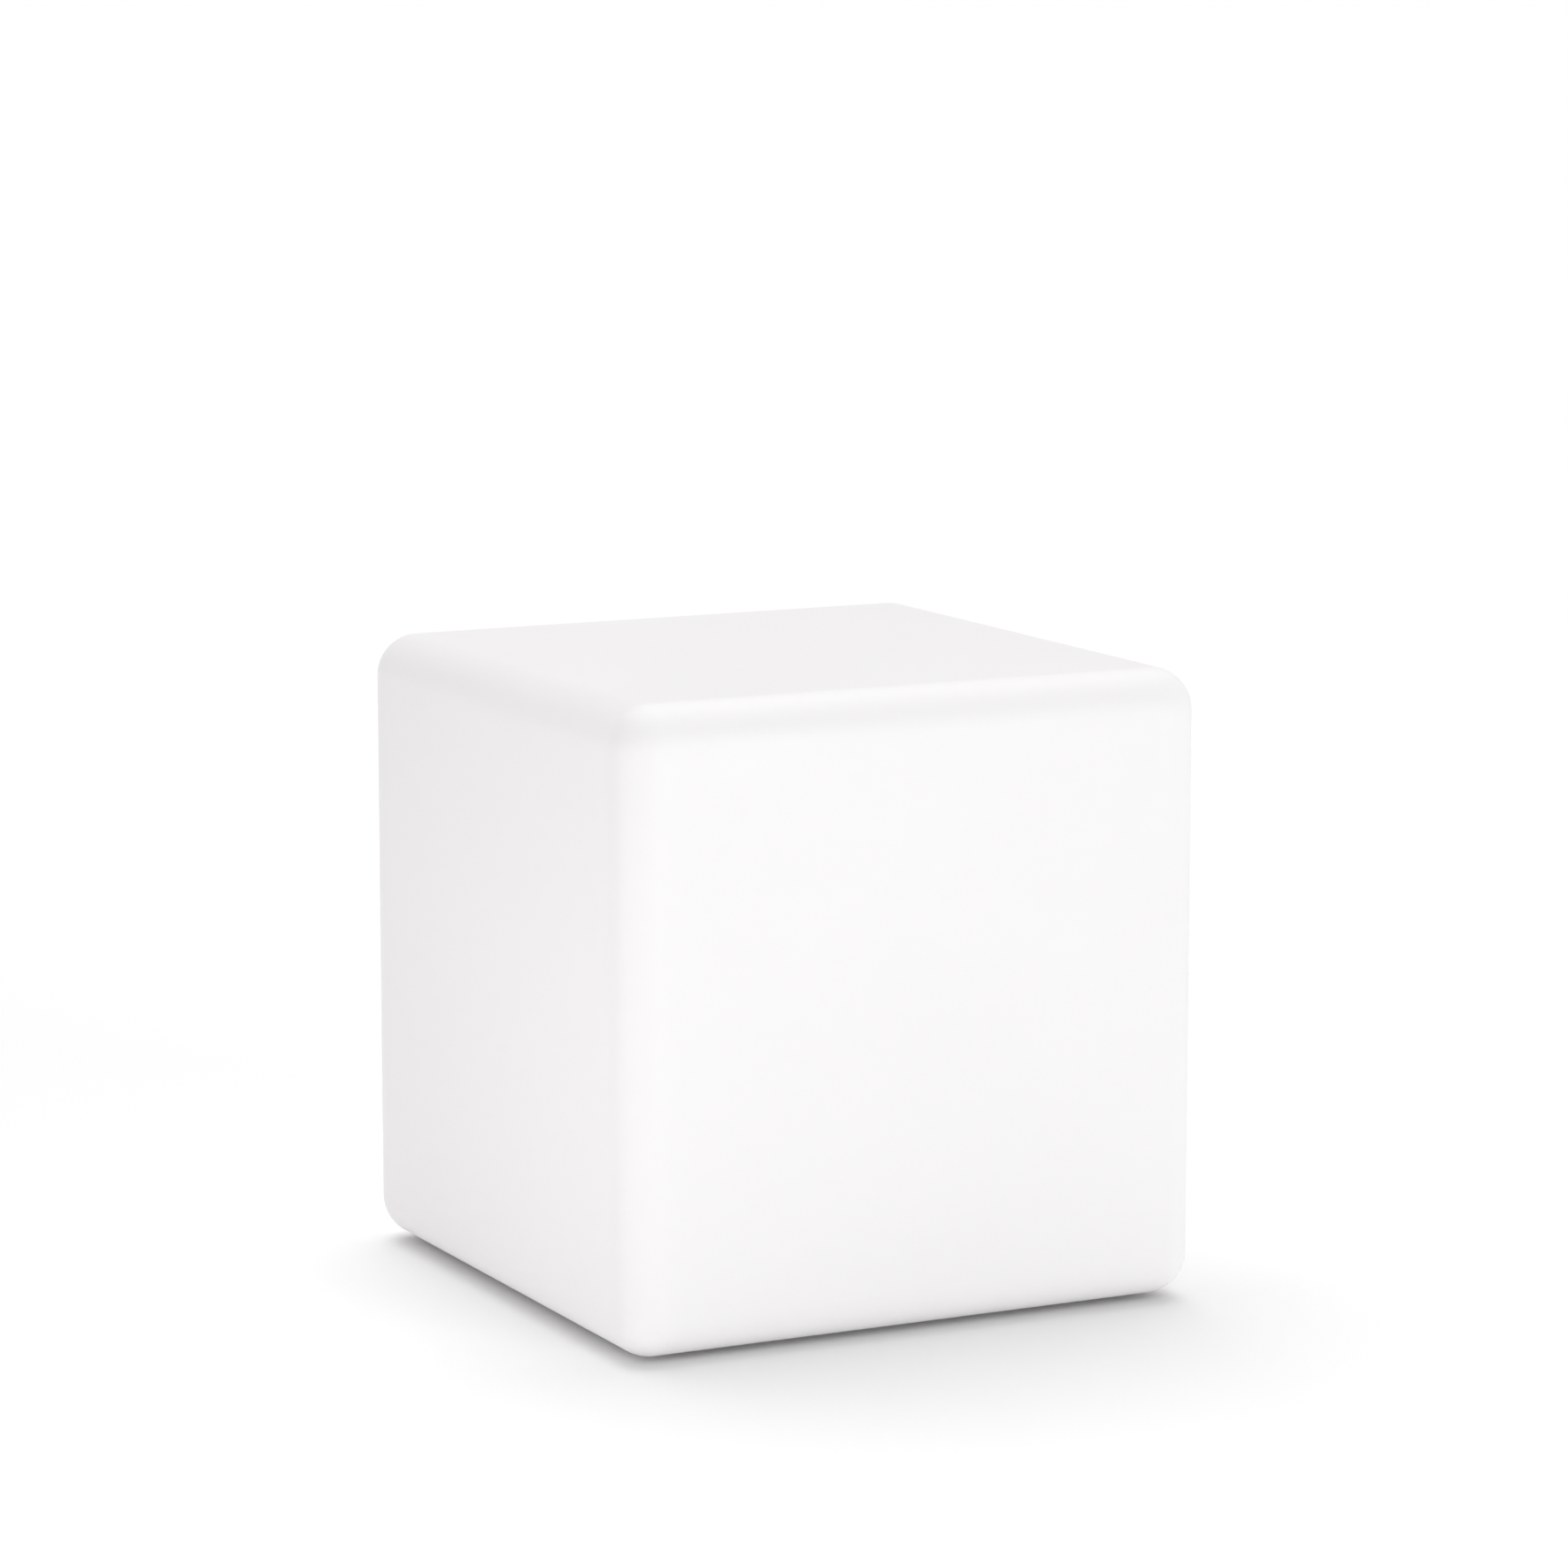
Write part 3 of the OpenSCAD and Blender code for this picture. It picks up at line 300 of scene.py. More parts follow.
def tube(route, radius, sides, guide=(1, 0.02, 0)):
    # a circle carried along a route; its frame is the route's direction crossed with a guide, and
    # both ends close on a centre point behind a small round
    way = np.gradient(route, axis=0)
    way /= np.linalg.norm(way, axis=1)[:, None]
    u = np.cross(way, guide)
    u /= np.linalg.norm(u, axis=1)[:, None]
    v = np.cross(way, u)
    angle = np.arange(sides) * 2 * pi / sides
    size = np.full(len(route), float(radius))
    size[[0, -1]] = radius * 0.86
    circle = np.cos(angle)[None, :, None] * u[:, None] + np.sin(angle)[None, :, None] * v[:, None]
    rings = route[:, None] + circle * size[:, None, None]
    ends = [rings[:1] * 0 + route[k] for k in (0, -1)]
    return grid(np.concatenate([ends[0], rings, ends[1]]), closeV=True)


def screwThread(pitch, depth, low, high, outside=0):
    # a right-hand thread: the radius falls by depth times a rounded saw of height / pitch minus
    # turns, and fades out over one pitch at either end; radii below outside are left alone
    def shape(radius, height, angle):
        turns = height / pitch - angle / (2 * pi)
        saw = np.clip(1.25 * np.abs(2 * (turns % 1) - 1) - 0.125, 0, 1)
        fade = np.clip(np.minimum(height - low, high - height) / pitch, 0, 1)
        return np.where(radius > outside, radius - depth * saw * fade, radius)
    return shape


def knurl(count, depth, low, high, outside):
    # straight grooves: the radius falls by depth times a rounded tooth, count of them round the rim
    def shape(radius, height, angle):
        tooth = (0.5 - 0.5 * np.cos(angle * count)) ** 1.5
        inside = (height > low) & (height < high) & (radius > outside)
        return np.where(inside, radius - depth * tooth, radius)
    return shape


def build(name, *parts, tints=None, sharp=32):
    # grids in millimetres become one mesh in metres; doubles are merged, which closes poles and
    # seams, and the faces are turned outwards; edges sharper than an angle stay sharp
    points, faces = join(*parts)
    mesh = bpy.data.meshes.new(name)
    mesh.from_pydata((points * mm).tolist(), [], faces.tolist())
    if tints is not None:
        mesh.polygons.foreach_set("material_index", tints)
    shaped = bmesh.new()
    shaped.from_mesh(mesh)
    bmesh.ops.remove_doubles(shaped, verts=shaped.verts, dist=2e-7)
    bmesh.ops.recalc_face_normals(shaped, faces=shaped.faces)
    shaped.to_mesh(mesh)
    shaped.free()
    mesh.shade_smooth()
    mesh.set_sharp_from_angle(angle=radians(sharp))
    made = bpy.data.objects.new(name, mesh)
    bpy.context.scene.collection.objects.link(made)
    return made


def copyOf(node):
    # a CAD node's triangles as a grid's points and faces, so that build can merge them
    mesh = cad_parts[node].data
    points = np.empty(len(mesh.vertices) * 3)
    mesh.vertices.foreach_get("co", points)
    corners = np.empty(len(mesh.loops), int)
    mesh.loops.foreach_get("vertex_index", corners)
    return points.reshape(-1, 3) / mm, corners.reshape(-1, 3)


def bevel(piece, width, angle):
    # a small round on every edge sharper than an angle
    made = piece.modifiers.new("edgeRound", "BEVEL")
    made.width, made.segments = width * mm, 2
    made.limit_method, made.angle_limit = "ANGLE", radians(angle)
    made.miter_outer = "MITER_ARC"
    return piece


def applied(piece, sharp=32):
    # the piece's modifiers worked into its mesh
    solved = piece.evaluated_get(bpy.context.evaluated_depsgraph_get())
    mesh = bpy.data.meshes.new_from_object(solved)
    piece.modifiers.clear()
    piece.data = mesh
    mesh.shade_smooth()
    mesh.set_sharp_from_angle(angle=radians(sharp))
    return piece


def carve(piece, tool, sharp=32):
    # the piece less a closed object, which is used up
    made = piece.modifiers.new("cut", "BOOLEAN")
    made.operation, made.solver, made.object = "DIFFERENCE", "EXACT", tool
    applied(piece, sharp)
    bpy.data.objects.remove(tool)


def cut(piece, *parts, sharp=32):
    # the piece less some closed grids
    carve(piece, build("cutter", *parts), sharp)


def rod(radius, low, high, sides=48):
    # a closed cylinder's rows, for cutting holes
    return lathe([[0, low], [radius, low], [radius, high], [0, high]], sides)


def block(low, high):
    # a closed box between two corners: the rings of its lower and upper face between their centres
    ring = np.array([[0, 0], [1, 0], [1, 1], [0, 1]])
    rows = [np.hstack([where, np.full((4, 1), z)])
            for where, z in ((ring * 0 + 0.5, 0), (ring, 0), (ring, 1), (ring * 0 + 0.5, 1))]
    return grid(np.array(low) + np.subtract(high, low) * np.array(rows), closeV=True)


def pick(sizes, names):
    # some sizes of a dictionary, for tables that use them often
    return (sizes[name] for name in names.split())


def fit(piece, body, slot, material, *nodes):
    # a finished piece: it rides on its body, takes its finish and stands for its CAD nodes
    for each in (material if isinstance(material, list) else [material]):
        piece.data.materials.append(each)
    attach(piece, body)
    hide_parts(*nodes)


def make(name, node, slot, material, *parts, body="base", sharp=32):
    # a piece built from grids that stands for one CAD node
    fit(build(name, *parts, sharp=sharp), body, slot, material, node)


def dress(material, *nodes):
    # a CAD node that keeps its shape gets its material
    for node in nodes:
        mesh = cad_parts[node].data
        mesh.materials.clear()
        mesh.materials.append(material)


# Camera, at the photograph's place: no shift, deep focus
sight = {"at": (-1.5788, -3.1545, 0.8856), "azimuth": -26.671, "down": 9.166, "lens": 128.44,
         "sensor": 36, "reach": 300}
across, down = radians(sight["azimuth"]), radians(sight["down"])
back = Vector((sin(across) * cos(down), -cos(across) * cos(down), sin(down)))
camera = bpy.data.objects.new("camera", bpy.data.cameras.new("camera"))
camera.location = sight["at"]
camera.rotation_mode = "QUATERNION"
camera.rotation_quaternion = (-back).to_track_quat("-Z", "Y")
camera.data.lens, camera.data.sensor_width = sight["lens"], sight["sensor"]
camera.data.clip_end = sight["reach"]
bpy.context.scene.collection.objects.link(camera)
bpy.context.scene.camera = camera
print("camera set")


# Shade: heights count from the ground; the screws stand on a circle of the radius feet
shade = {
    "half": 200, "ground": 3, "corner": 27, "wall": 4, "mouth": 84, "recess": 140, "seat": 18,
    "recessRound": 4, "seatRound": 1.2, "channel": 6, "channelTop": 13, "boss": 9, "bossTop": 35,
    "bossRound": 2, "insert": 4.05, "insertTop": 30, "feet": 120, "edge": 0.7}
footTurns = [45, 135, 225, 315]
# Where cutters end in the open: under the shell, in its recess, above the recess, beyond a side
past = {"under": -1, "recess": 10, "roof": 30, "side": 210}


def roundedBox(half, low, high, radius):
    # a sphere's grid of unit normals times the radius, each eighth pushed out to its own corner of
    # the inner block; the gaps between the eighths are the flat faces
    quarter = np.linspace(0, pi / 2, 29)
    turn = np.concatenate([quarter + k * pi / 2 for k in range(4)])
    lift = np.concatenate([quarter - pi / 2, quarter])
    coreX = np.repeat([1, -1, -1, 1], len(quarter)) * (half - radius)
    coreY = np.repeat([1, 1, -1, -1], len(quarter)) * (half - radius)
    coreZ = np.repeat([low + radius, high - radius], len(quarter))
    level = np.cos(lift)[:, None]
    points = np.stack([coreX + radius * level * np.cos(turn), coreY + radius * level * np.sin(turn),
                       np.repeat((coreZ + radius * np.sin(lift))[:, None], len(turn), 1)], 2)
    ends = [np.zeros((1, len(turn), 3)) + [0, 0, z] for z in (low, high)]
    return grid(np.concatenate([ends[0], points, ends[1]]), closeV=True)


def atFoot(part, turn):
    # a grid moved out to the feet's circle, then turned about Z (degrees)
    return place((part[0] + [shade["feet"], 0, 0], part[1]), turn=turn)


def aroundFeet(part):
    # the same grid at each of the four feet
    return [atFoot(part, turn) for turn in footTurns]


half, ground, wall, corner, recess, seat, channel, boss = pick(
    shade, "half ground wall corner recess seat channel boss")
top, roofEdge, roofTop, skinY = ground + 2 * half, recess + wall, seat + wall, recess - 1

# The hollow: a smaller box, less the walls of the recess, the bosses and the channel
cavity = build("cavity", roundedBox(half - wall, ground + wall, top - wall, corner - wall))
cut(cavity, lathe(bent([[0, 0, 0], [roofEdge, 0, 0], [roofEdge, roofTop, wall],
                        [0, roofTop, 0]]), 180))
cut(cavity, *aroundFeet(lathe(bent([
    [0, past["recess"], 0], [boss, past["recess"], 0],
    [boss, shade["bossTop"], shade["bossRound"]], [0, shade["bossTop"], 0]]), 48)))
cut(cavity, block((-channel - wall, skinY, 0),
                  (channel + wall, past["side"], shade["channelTop"] + wall)))

# The moulding: the outer box less the hollow, the recess, the openings and the inserts' holes
moulding = build("shell_moulding", roundedBox(half, ground, top, corner))
carve(moulding, cavity)
mouthEdge = recess + shade["recessRound"]
cut(moulding, lathe(np.vstack([[[0, ground - 2], [mouthEdge, ground - 2]], bent([
    [mouthEdge + 2, ground, 0], [recess, ground, shade["recessRound"]],
    [recess, seat, shade["seatRound"]], [0, seat, 0]], 10)]), 180))
cut(moulding, rod(shade["mouth"], past["recess"], past["roof"], 180))
cut(moulding, block((-channel, skinY, past["under"]),
                    (channel, past["side"], shade["channelTop"])))
cut(moulding, *aroundFeet(rod(shade["insert"], past["recess"], shade["insertTop"])))
bevel(moulding, shade["edge"], 50)
applied(moulding, 38)
shellNodes = [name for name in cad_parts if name.startswith("shell")]
fit(moulding, "shade", "polyethylene", polyethylene, *shellNodes)

# Threaded inserts: two knurled bands and a plain waist, as moulded-in inserts have. Band and the
# sizes that end in From are distances from either end
insert = {
    "radius": 4, "waist": 3.3, "bore": 2.6, "low": 18, "high": 30, "band": 4.6, "waistFrom": 5.2,
    "teeth": 28, "toothDepth": 0.35, "teethFrom": 0.8, "pitch": 0.8, "threadDepth": 0.35,
    "threadFrom": 0.3, "clear": 0.1, "rim": 0.4, "mouth": 0.5}
r, w, b, lo, hi, band, waistFrom, rim, mouth = pick(
    insert, "radius waist bore low high band waistFrom rim mouth")
insertTeeth = knurl(insert["teeth"], insert["toothDepth"], lo + insert["teethFrom"],
                    hi - insert["teethFrom"], w + 0.1)
insertThread = screwThread(insert["pitch"], insert["threadDepth"], lo + insert["threadFrom"],
                           hi - insert["threadFrom"])


def insertShape(radius, height, angle):
    # outside: straight teeth in two bands; inside: the thread that the base screw runs in
    inner = insert["bore"] + 0 * radius
    return np.where(radius > insert["waist"] - 0.1, insertTeeth(radius, height, angle),
                    radius + insert["clear"] + insertThread(inner, height, angle) - inner)


insertRows = fine([
    [b + mouth, lo], [r - rim, lo], [r, lo + rim], [r, lo + band], [w, lo + waistFrom],
    [w, hi - waistFrom], [r, hi - band], [r, hi - rim], [r - rim, hi], [b + mouth, hi],
    [b, hi - mouth], [b, lo + mouth], [b + mouth, lo]], 0.2)[:-1]
for i, turn in enumerate(footTurns):
    part = atFoot(lathe(insertRows, 112, insertShape, True), turn)
    make(f"knurled_insert_{i + 1}", f"insert_{i + 1}", "brass", turnedBrass, part, body="shade")
print("shade made")


# Proportions of fasteners: a nut's corners and flat ends over half its width across flats, the cone
# between them over that width, a thread's depth over its pitch, a rod's plain core over its radius
share = {"corner": 1.18, "face": 0.96, "cone": 0.096, "nutThread": 0.3, "rodThread": 0.55, "core": 0.6}


def hexNut(flat, height, bore, low, pitch):
    # a hexagon with its corners cut by a cone above and below, and a threaded bore
    high, lead, cone = low + height, 0.3, flat * share["cone"]
    corner, face = flat / 2 * share["corner"], flat / 2 * share["face"]
    rows = fine([[bore + lead, low], [face, low], [corner, low + cone], [corner, high - cone],
                 [face, high], [bore + lead, high], [bore, high - lead], [bore, low + lead],
                 [bore + lead, low]], 0.22)[:-1]
    thread = screwThread(pitch, share["nutThread"] * pitch, low, high)

    def shape(radius, height, angle):
        inner = bore + 0 * radius
        return np.where(radius < bore + 0.02, radius + bore - thread(inner, height, angle), radius)
    return lathe(hexagonal(rows, flat / 2), 72, shape, True)


def shank(radius, low, high, pitch, sides=40, soft=0.4):
    # a threaded rod: fine rows for the thread, a cone at the far end
    rows = fine([[0, low], [radius, low], [radius, high - soft], [radius - soft, high], [0, high]],
                pitch / 7)
    return lathe(rows, sides, screwThread(pitch, pitch * share["rodThread"], low, high,
                                          radius * share["core"]))


def plated(name, node, *parts):
    # a zinc-plated piece of the base
    make(name, node, "plated_steel", zincPlate, *parts)


# Base screws: socket-head cap screws, head down; wide rows are cut to the key's hexagon, and whole
# is a flat that leaves a row round
capScrew = {
    "head": 4.25, "headLow": 2, "headHigh": 7, "radius": 2.5, "tip": 27, "pitch": 0.8, "key": 2,
    "keyTop": 4.5, "teeth": 36, "toothDepth": 0.22, "wide": 5, "whole": 99}
h, lo, hi, key, keyTop, wide = pick(capScrew, "head headLow headHigh key keyTop wide")
headRows = np.array([
    [0, keyTop + 0.5], [key - 0.3, keyTop], [wide, keyTop], [wide, lo + 0.25], [key * 1.22, lo],
    [h - 0.8, lo], [h - 0.35, lo + 0.1], [h - 0.08, lo + 0.4], [h, lo + 0.75], [h, lo + 0.9],
    [h, hi - 0.5], [h, hi - 0.3], [h - 0.2, hi], [0, hi]])
headRows = hexagonal(headRows, np.where(headRows[:, 0] == wide, key, capScrew["whole"]))
headTeeth = knurl(capScrew["teeth"], capScrew["toothDepth"], lo + 0.8, hi - 0.4, h - 0.05)
plated("cap_screws", "base_screws", *aroundFeet(lathe(headRows, 144, headTeeth)),
       *aroundFeet(shank(capScrew["radius"], hi - 0.5, capScrew["tip"], capScrew["pitch"])))

# Punched washers: one edge rounded by the punch, the other crisp. Here and below, the corners of a
# turned piece are [radius, height, round]
washer = {"corners": [[2.9, 7, 0.1], [5, 7, 0.3], [5, 8, 0.08], [2.9, 8, 0.25]]}
plated("punched_washers", "foot_washers", *aroundFeet(turned(washer["corners"], 64, 4)))
print("fasteners made")


# Base pan: one disc drawn in steps; corners are [radius, height, bend radius] of the sheet's middle
pan = {
    "sheet": 1.5, "hole": 2.9, "holeEnds": (10, 25),
    "corners": [[136.25, 11, 0], [136.25, 17.25, 2], [104.2, 17.25, 1], [103, 14.25, 1],
                [86, 14.25, 1], [84.8, 17.25, 1], [53, 17.25, 2], [48, 61.25, 7], [8.2, 61.25, 0]]}
drawnPan = build("drawn_pan", lathe(sheet(pan["corners"], pan["sheet"], 10), 200, ring=True))
cut(drawnPan, *aroundFeet(rod(pan["hole"], *pan["holeEnds"])))
fit(drawnPan, "base", "coated_steel", powderCoat, "base_pan")

# Flat gasket: moulded, so its edges are soft, with a fine rib between two grooves on top
gasket = {"corners": [
    [87, 15, 0.5], [102, 15, 0.5], [102, 18, 0.5], [98, 18, 0.3], [97.4, 17.4, 0.3],
    [96, 17.4, 0.3], [95.4, 18, 0.3], [93.6, 18, 0.3], [93, 17.4, 0.3], [91.6, 17.4, 0.3],
    [91, 18, 0.3], [87, 18, 0.5]]}
make("moulded_gasket", "base_gasket", "seal_rubber", sealRubber, turned(gasket["corners"], 180))

# Feet: tapered pucks with a counterbore, two shallow rings where they stand and a groove round them
foot = {"corners": [
    [5.3, 0, 0.4], [7, 0, 0.3], [7.4, 0.7, 0.3], [8.2, 0.7, 0.3], [8.6, 0, 0.3], [9.6, 0, 0.3],
    [10, 0.7, 0.3], [10.6, 0.7, 0.3], [11, 0, 0.3], [12.5, 0, 1.4], [13.1, 6.8, 0], [13.15, 7.2, 0],
    [12.9, 7.4, 0.2], [12.9, 8.2, 0.2], [13.25, 8.4, 0], [14, 16.2, 0.25], [13.4, 16.5, 0.3],
    [2.9, 16.5, 0], [2.9, 8, 0.2], [5.3, 8, 0.3]]}
for i, turn in enumerate(footTurns):
    part = atFoot(turned(foot["corners"], 96), turn)
    make(f"rubber_foot_{i + 1}", f"foot_{i + 1}", "foot_rubber", footRubber, part)

# Weld studs, and nuts on them: a group's studs' ends, its nuts' lower side, its places in x and y
stud = {"radius": 2, "pitch": 0.7, "connectorY": -68.5, "earthAt": (-48.437, -48.437)}
studNut = {"flat": 7, "height": 3.2, "bore": 2.1, "pitch": 0.7}
studGroups = {
    ("bracket_hex_nuts", "bracket_nuts"): ((62, 68.7), 64, [(-31, 0), (31, 0)]),
    ("connector_hex_nuts", "terminal_nuts"):
        ((18, 27.7), 23, [(x, stud["connectorY"]) for x in (-20.9, 20.9)]),
    ("earth_hex_nut", "earth_nut"): ((18, 23.5), 18.8, [stud["earthAt"]])}
plated("threaded_studs", "weld_studs", *(
    place(shank(stud["radius"], *ends, stud["pitch"]), (*at, 0))
    for ends, _, spots in studGroups.values() for at in spots))
for (name, node), (_, nutLow, spots) in studGroups.items():
    oneNut = hexNut(low=nutLow, **studNut)
    plated(name, node, *(place(oneNut, (*at, 0)) for at in spots))
print("base made")


# Body of the cable gland: an outside thread below its flange for the clamping nut and one above it
# for the locknut; corners are [radius, height]
gland = {
    "flat": 10.5, "pitch": 1.5, "depth": 0.6, "core": 7.4, "threads": [(42.6, 52.4), (60.2, 70)],
    "corners": [[6.65, 42.3], [6.95, 42], [8, 42], [8.5, 42.5], [8.5, 52.6], [8, 53], [10.185, 53],
                [12.4, 53.9], [12.4, 58.1], [10.185, 59], [8, 59], [8, 70], [7.5, 70.5],
                [5.3, 70.5], [5, 70.2], [5, 50], [6.65, 50], [6.65, 42.3]]}


def glandShape(radius, height, angle):
    # the two threads, one after the other: each leaves the other's heights alone
    for low, high in gland["threads"]:
        thread = screwThread(gland["pitch"], gland["depth"], low, high, gland["core"])
        radius = thread(radius, height, angle)
    return radius


glandRows = hexagonal(fine(gland["corners"], 0.21)[:-1], gland["flat"])
make("gland_threaded_body", "gland_body", "gland_nylon", greyNylon,
    lathe(glandRows, 96, glandShape, True))

# Clamping nut: a hexagon that runs into a dome; half is the half width of a grip's groove
clampNut = {
    "flat": 10.5, "half": 1.1, "low": 42.4, "high": 50.4, "depth": 0.45, "outside": 9.5,
    "corners": [[5, 36, 0.4], [10.5, 36, 5], [10.5, 41, 0], [10.9, 41, 0], [12.4, 42, 0],
                [12.4, 50.6, 0], [11, 51.5, 0.3], [8.6, 51.5, 0.3], [8.6, 41, 0], [5, 41, 0.3]]}


def nutGrip(radius, height, angle):
    # a shallow groove across the middle of each flat, as deep as the root of how near that is
    near = np.clip(1 - np.abs(fromFlat(angle)) * radius / clampNut["half"], 0, 1)
    along = np.clip(np.minimum(height - clampNut["low"], clampNut["high"] - height), 0, 1)
    return np.where(radius > clampNut["outside"],
                    radius - clampNut["depth"] * np.sqrt(near * along), radius)


domeRows = hexagonal(fine(bent(clampNut["corners"], 12), 0.5), clampNut["flat"])
make("gland_domed_nut", "gland_nut", "gland_nylon", greyNylon, lathe(domeRows, 144, nutGrip, True))

# Grommet: its mouth flares a little, and it swells between the body and the nut
grommet = {"corners": [
    [3.8, 41.8, 0], [4.3, 41, 0.3], [6.5, 41, 0.5], [6.6, 44, 0], [6.6, 49.5, 0.3], [6.2, 50, 0.2],
    [4.1, 50, 0.3], [3.8, 49.4, 0]]}
make("gland_seal", "gland_grommet", "seal_rubber", sealRubber, turned(grommet["corners"], 64))
glandWasher = {"corners": [[8.2, 59, 0.2], [10.5, 59, 0.4], [10.5, 60.5, 0.4], [8.2, 60.5, 0.2]]}
make("gland_flat_washer", "gland_washer", "seal_rubber", sealRubber,
    turned(glandWasher["corners"], 96))
glandLocknut = {"flat": 22, "height": 4.5, "bore": 8.1, "low": 62, "pitch": 1.5}
make("gland_hex_locknut", "gland_locknut", "gland_nylon", greyNylon, hexNut(**glandLocknut))
print("gland made")


# Bracket: a strip bent to a bridge; corners are [x, z, bend radius] of the sheet's middle, half is
# its half width
bracket = {
    "half": 10, "sheet": 2, "end": 37, "edge": 0.35, "hole": 5.2, "holeEnds": (88, 94), "studX": 31,
    "studHole": 2.2, "studHoleEnds": (60, 66),
    "corners": [[-37, 63, 0], [-23, 63, 3], [-23, 91, 3], [23, 91, 3], [23, 63, 3], [37, 63, 0]]}


def strip(shape):
    # a round-edged oblong carried along the bent path; near the ends its half width follows a
    # circle: sqrt(half width squared minus the distance past the last centre squared)
    path = fine(bent(shape["corners"], 10), 3)
    centre = shape["end"] - shape["half"]
    sweep = centre + shape["half"] * np.sin(np.linspace(0, pi / 2, 14))
    right = np.stack([sweep, np.full(len(sweep), path[0, 1])], 1)
    inner = path[np.abs(path[:, 0]) < centre - 0.01]
    path = np.vstack([(right * [-1, 1])[::-1], inner, right])
    way = np.gradient(path, axis=0)
    way /= np.hypot(*way.T)[:, None]
    normal = np.stack([-way[:, 1], way[:, 0]], 1)
    past = np.clip(np.abs(path[:, 0]) - centre, 0, shape["half"])
    half = np.sqrt(np.maximum(shape["half"]**2 - past**2, 0))
    steps = 5  # points of each rounded edge
    around = np.concatenate([np.linspace(k, k + 1, steps) for k in range(4)]) * pi / 2
    sideways = np.repeat([1, -1, -1, 1], steps)
    upward = np.repeat([1, 1, -1, -1], steps)
    soft = np.minimum(shape["edge"], half)[:, None]
    y = sideways * (half[:, None] - soft) + soft * np.cos(around)
    t = upward * (shape["sheet"] / 2 - shape["edge"]) + shape["edge"] * np.sin(around)
    x = path[:, :1] + normal[:, :1] * t
    z = path[:, 1:] + normal[:, 1:] * t
    return grid(np.stack([x, y, z], 2), closeV=True)


bridge = build("bent_bracket", strip(bracket), sharp=40)
studHole = rod(bracket["studHole"], *bracket["studHoleEnds"])
cut(bridge, rod(bracket["hole"], *bracket["holeEnds"]),
    *(place(studHole, (side * bracket["studX"], 0, 0)) for side in (-1, 1)), sharp=40)
fit(bridge, "base", "bracket_steel", galvanisedStrip, "holder_bracket")

nipple = {
    "radius": 5, "bore": 4, "low": 85, "high": 100, "pitch": 1.0, "depth": 0.45, "core": 4.55,
    "rim": 0.4, "mouth": 0.2}
r, b, lo, hi, rim, mouth = pick(nipple, "radius bore low high rim mouth")
nippleRows = fine([
    [b + mouth, lo], [r - rim, lo], [r, lo + rim], [r, hi - rim], [r - rim, hi], [b + mouth, hi],
    [b, hi - mouth], [b, lo + mouth], [b + mouth, lo]], 0.14)[:-1]
nippleThread = screwThread(nipple["pitch"], nipple["depth"], lo + mouth, hi - mouth, nipple["core"])
plated("threaded_nipple", "nipple", lathe(nippleRows, 64, nippleThread, True))
nippleLocknut = {"flat": 14, "height": 3.5, "bore": 5.1, "low": 86.5, "pitch": 1.0}
plated("nipple_hex_locknut", "nipple_locknut", hexNut(**nippleLocknut))
print("bracket and nipple made")


# Lamp holder: the cover's corners count from low
dome = {"low": 92, "corners": [
    [5.1, 0, 0.3], [8.2, 0, 0.5], [8.2, 5, 0.6], [18.2, 5, 10], [18.2, 26, 0.4], [16.5, 26, 0.4],
    [16.5, 6.7, 8.3], [5.1, 6.7, 0.3]]}
domeShell = bent(dome["corners"], 14) + [0, dome["low"]]
make("holder_domed_cover", "holder_dome", "holder_plastic", thermoset,
    lathe(domeShell, 128, ring=True))

# Skirt: ribShare is the square of a rib's half width, where the spacing of the ribs is one
skirt = {
    "radius": 20, "ribs": 24, "ribLow": 111, "ribHigh": 133, "rib": 0.65, "ribShare": 0.045,
    "ribEnd": 0.9,
    "corners": [[18.3, 109, 0.3], [20, 109, 0.5], [20, 148, 1.2], [14.05, 148, 1], [14.05, 120, 0],
                [15.75, 120, 0], [15.75, 145, 0.4], [18.3, 145, 0.4]]}
s = skirt
skirtRows = fine(bent(skirt["corners"], 6), 1.2)


def ribs(radius, height, angle):
    # half-round ribs with round ends: a circle's root of one minus the squared distance, both ways
    off = (angle * s["ribs"] / (2 * pi) + 0.5) % 1 - 0.5
    wave = np.clip(1 - off**2 / s["ribShare"], 0, 1)
    ends = np.clip(np.minimum(height - s["ribLow"], s["ribHigh"] - height) / s["ribEnd"], 0, 1)
    swell = s["rib"] * np.sqrt(wave * ends * (2 - ends))
    return np.where(radius > s["radius"] - 0.01, radius + swell, radius)


make("holder_ribbed_skirt", "holder_skirt", "holder_plastic", thermoset,
    lathe(skirtRows, 384, ribs, True), sharp=50)

# Edison thread: the same wave for shell and cap, so that they mesh at any turn of the bulb
edison = {"pitch": 3.629, "depth": 0.85, "fade": 1.2}


def edisonWave(height, angle, low, high):
    # depth times half of one minus the cosine of height / pitch minus turns, faded at both ends
    turns = height / edison["pitch"] - angle / (2 * pi)
    fade = np.clip(np.minimum(height - low, high - height) / edison["fade"], 0, 1)
    return edison["depth"] * (0.5 - 0.5 * np.cos(2 * pi * turns)) * fade * fade * (3 - 2 * fade)


# Thread shell: a cup of rolled sheet with a lip below; corners are [radius, height]
threadShell = {
    "outside": 13.4, "low": 120.6, "high": 143.4,
    "corners": [[10.95, 120], [13.85, 120], [13.85, 144], [13.45, 144], [13.45, 120.4],
                [10.95, 120.4], [10.95, 120]]}


def shellThread(radius, height, angle):
    # inside and outside of the sheet follow the same wave
    wave = edisonWave(height, angle, threadShell["low"], threadShell["high"])
    return np.where(radius > threadShell["outside"], radius - wave, radius)


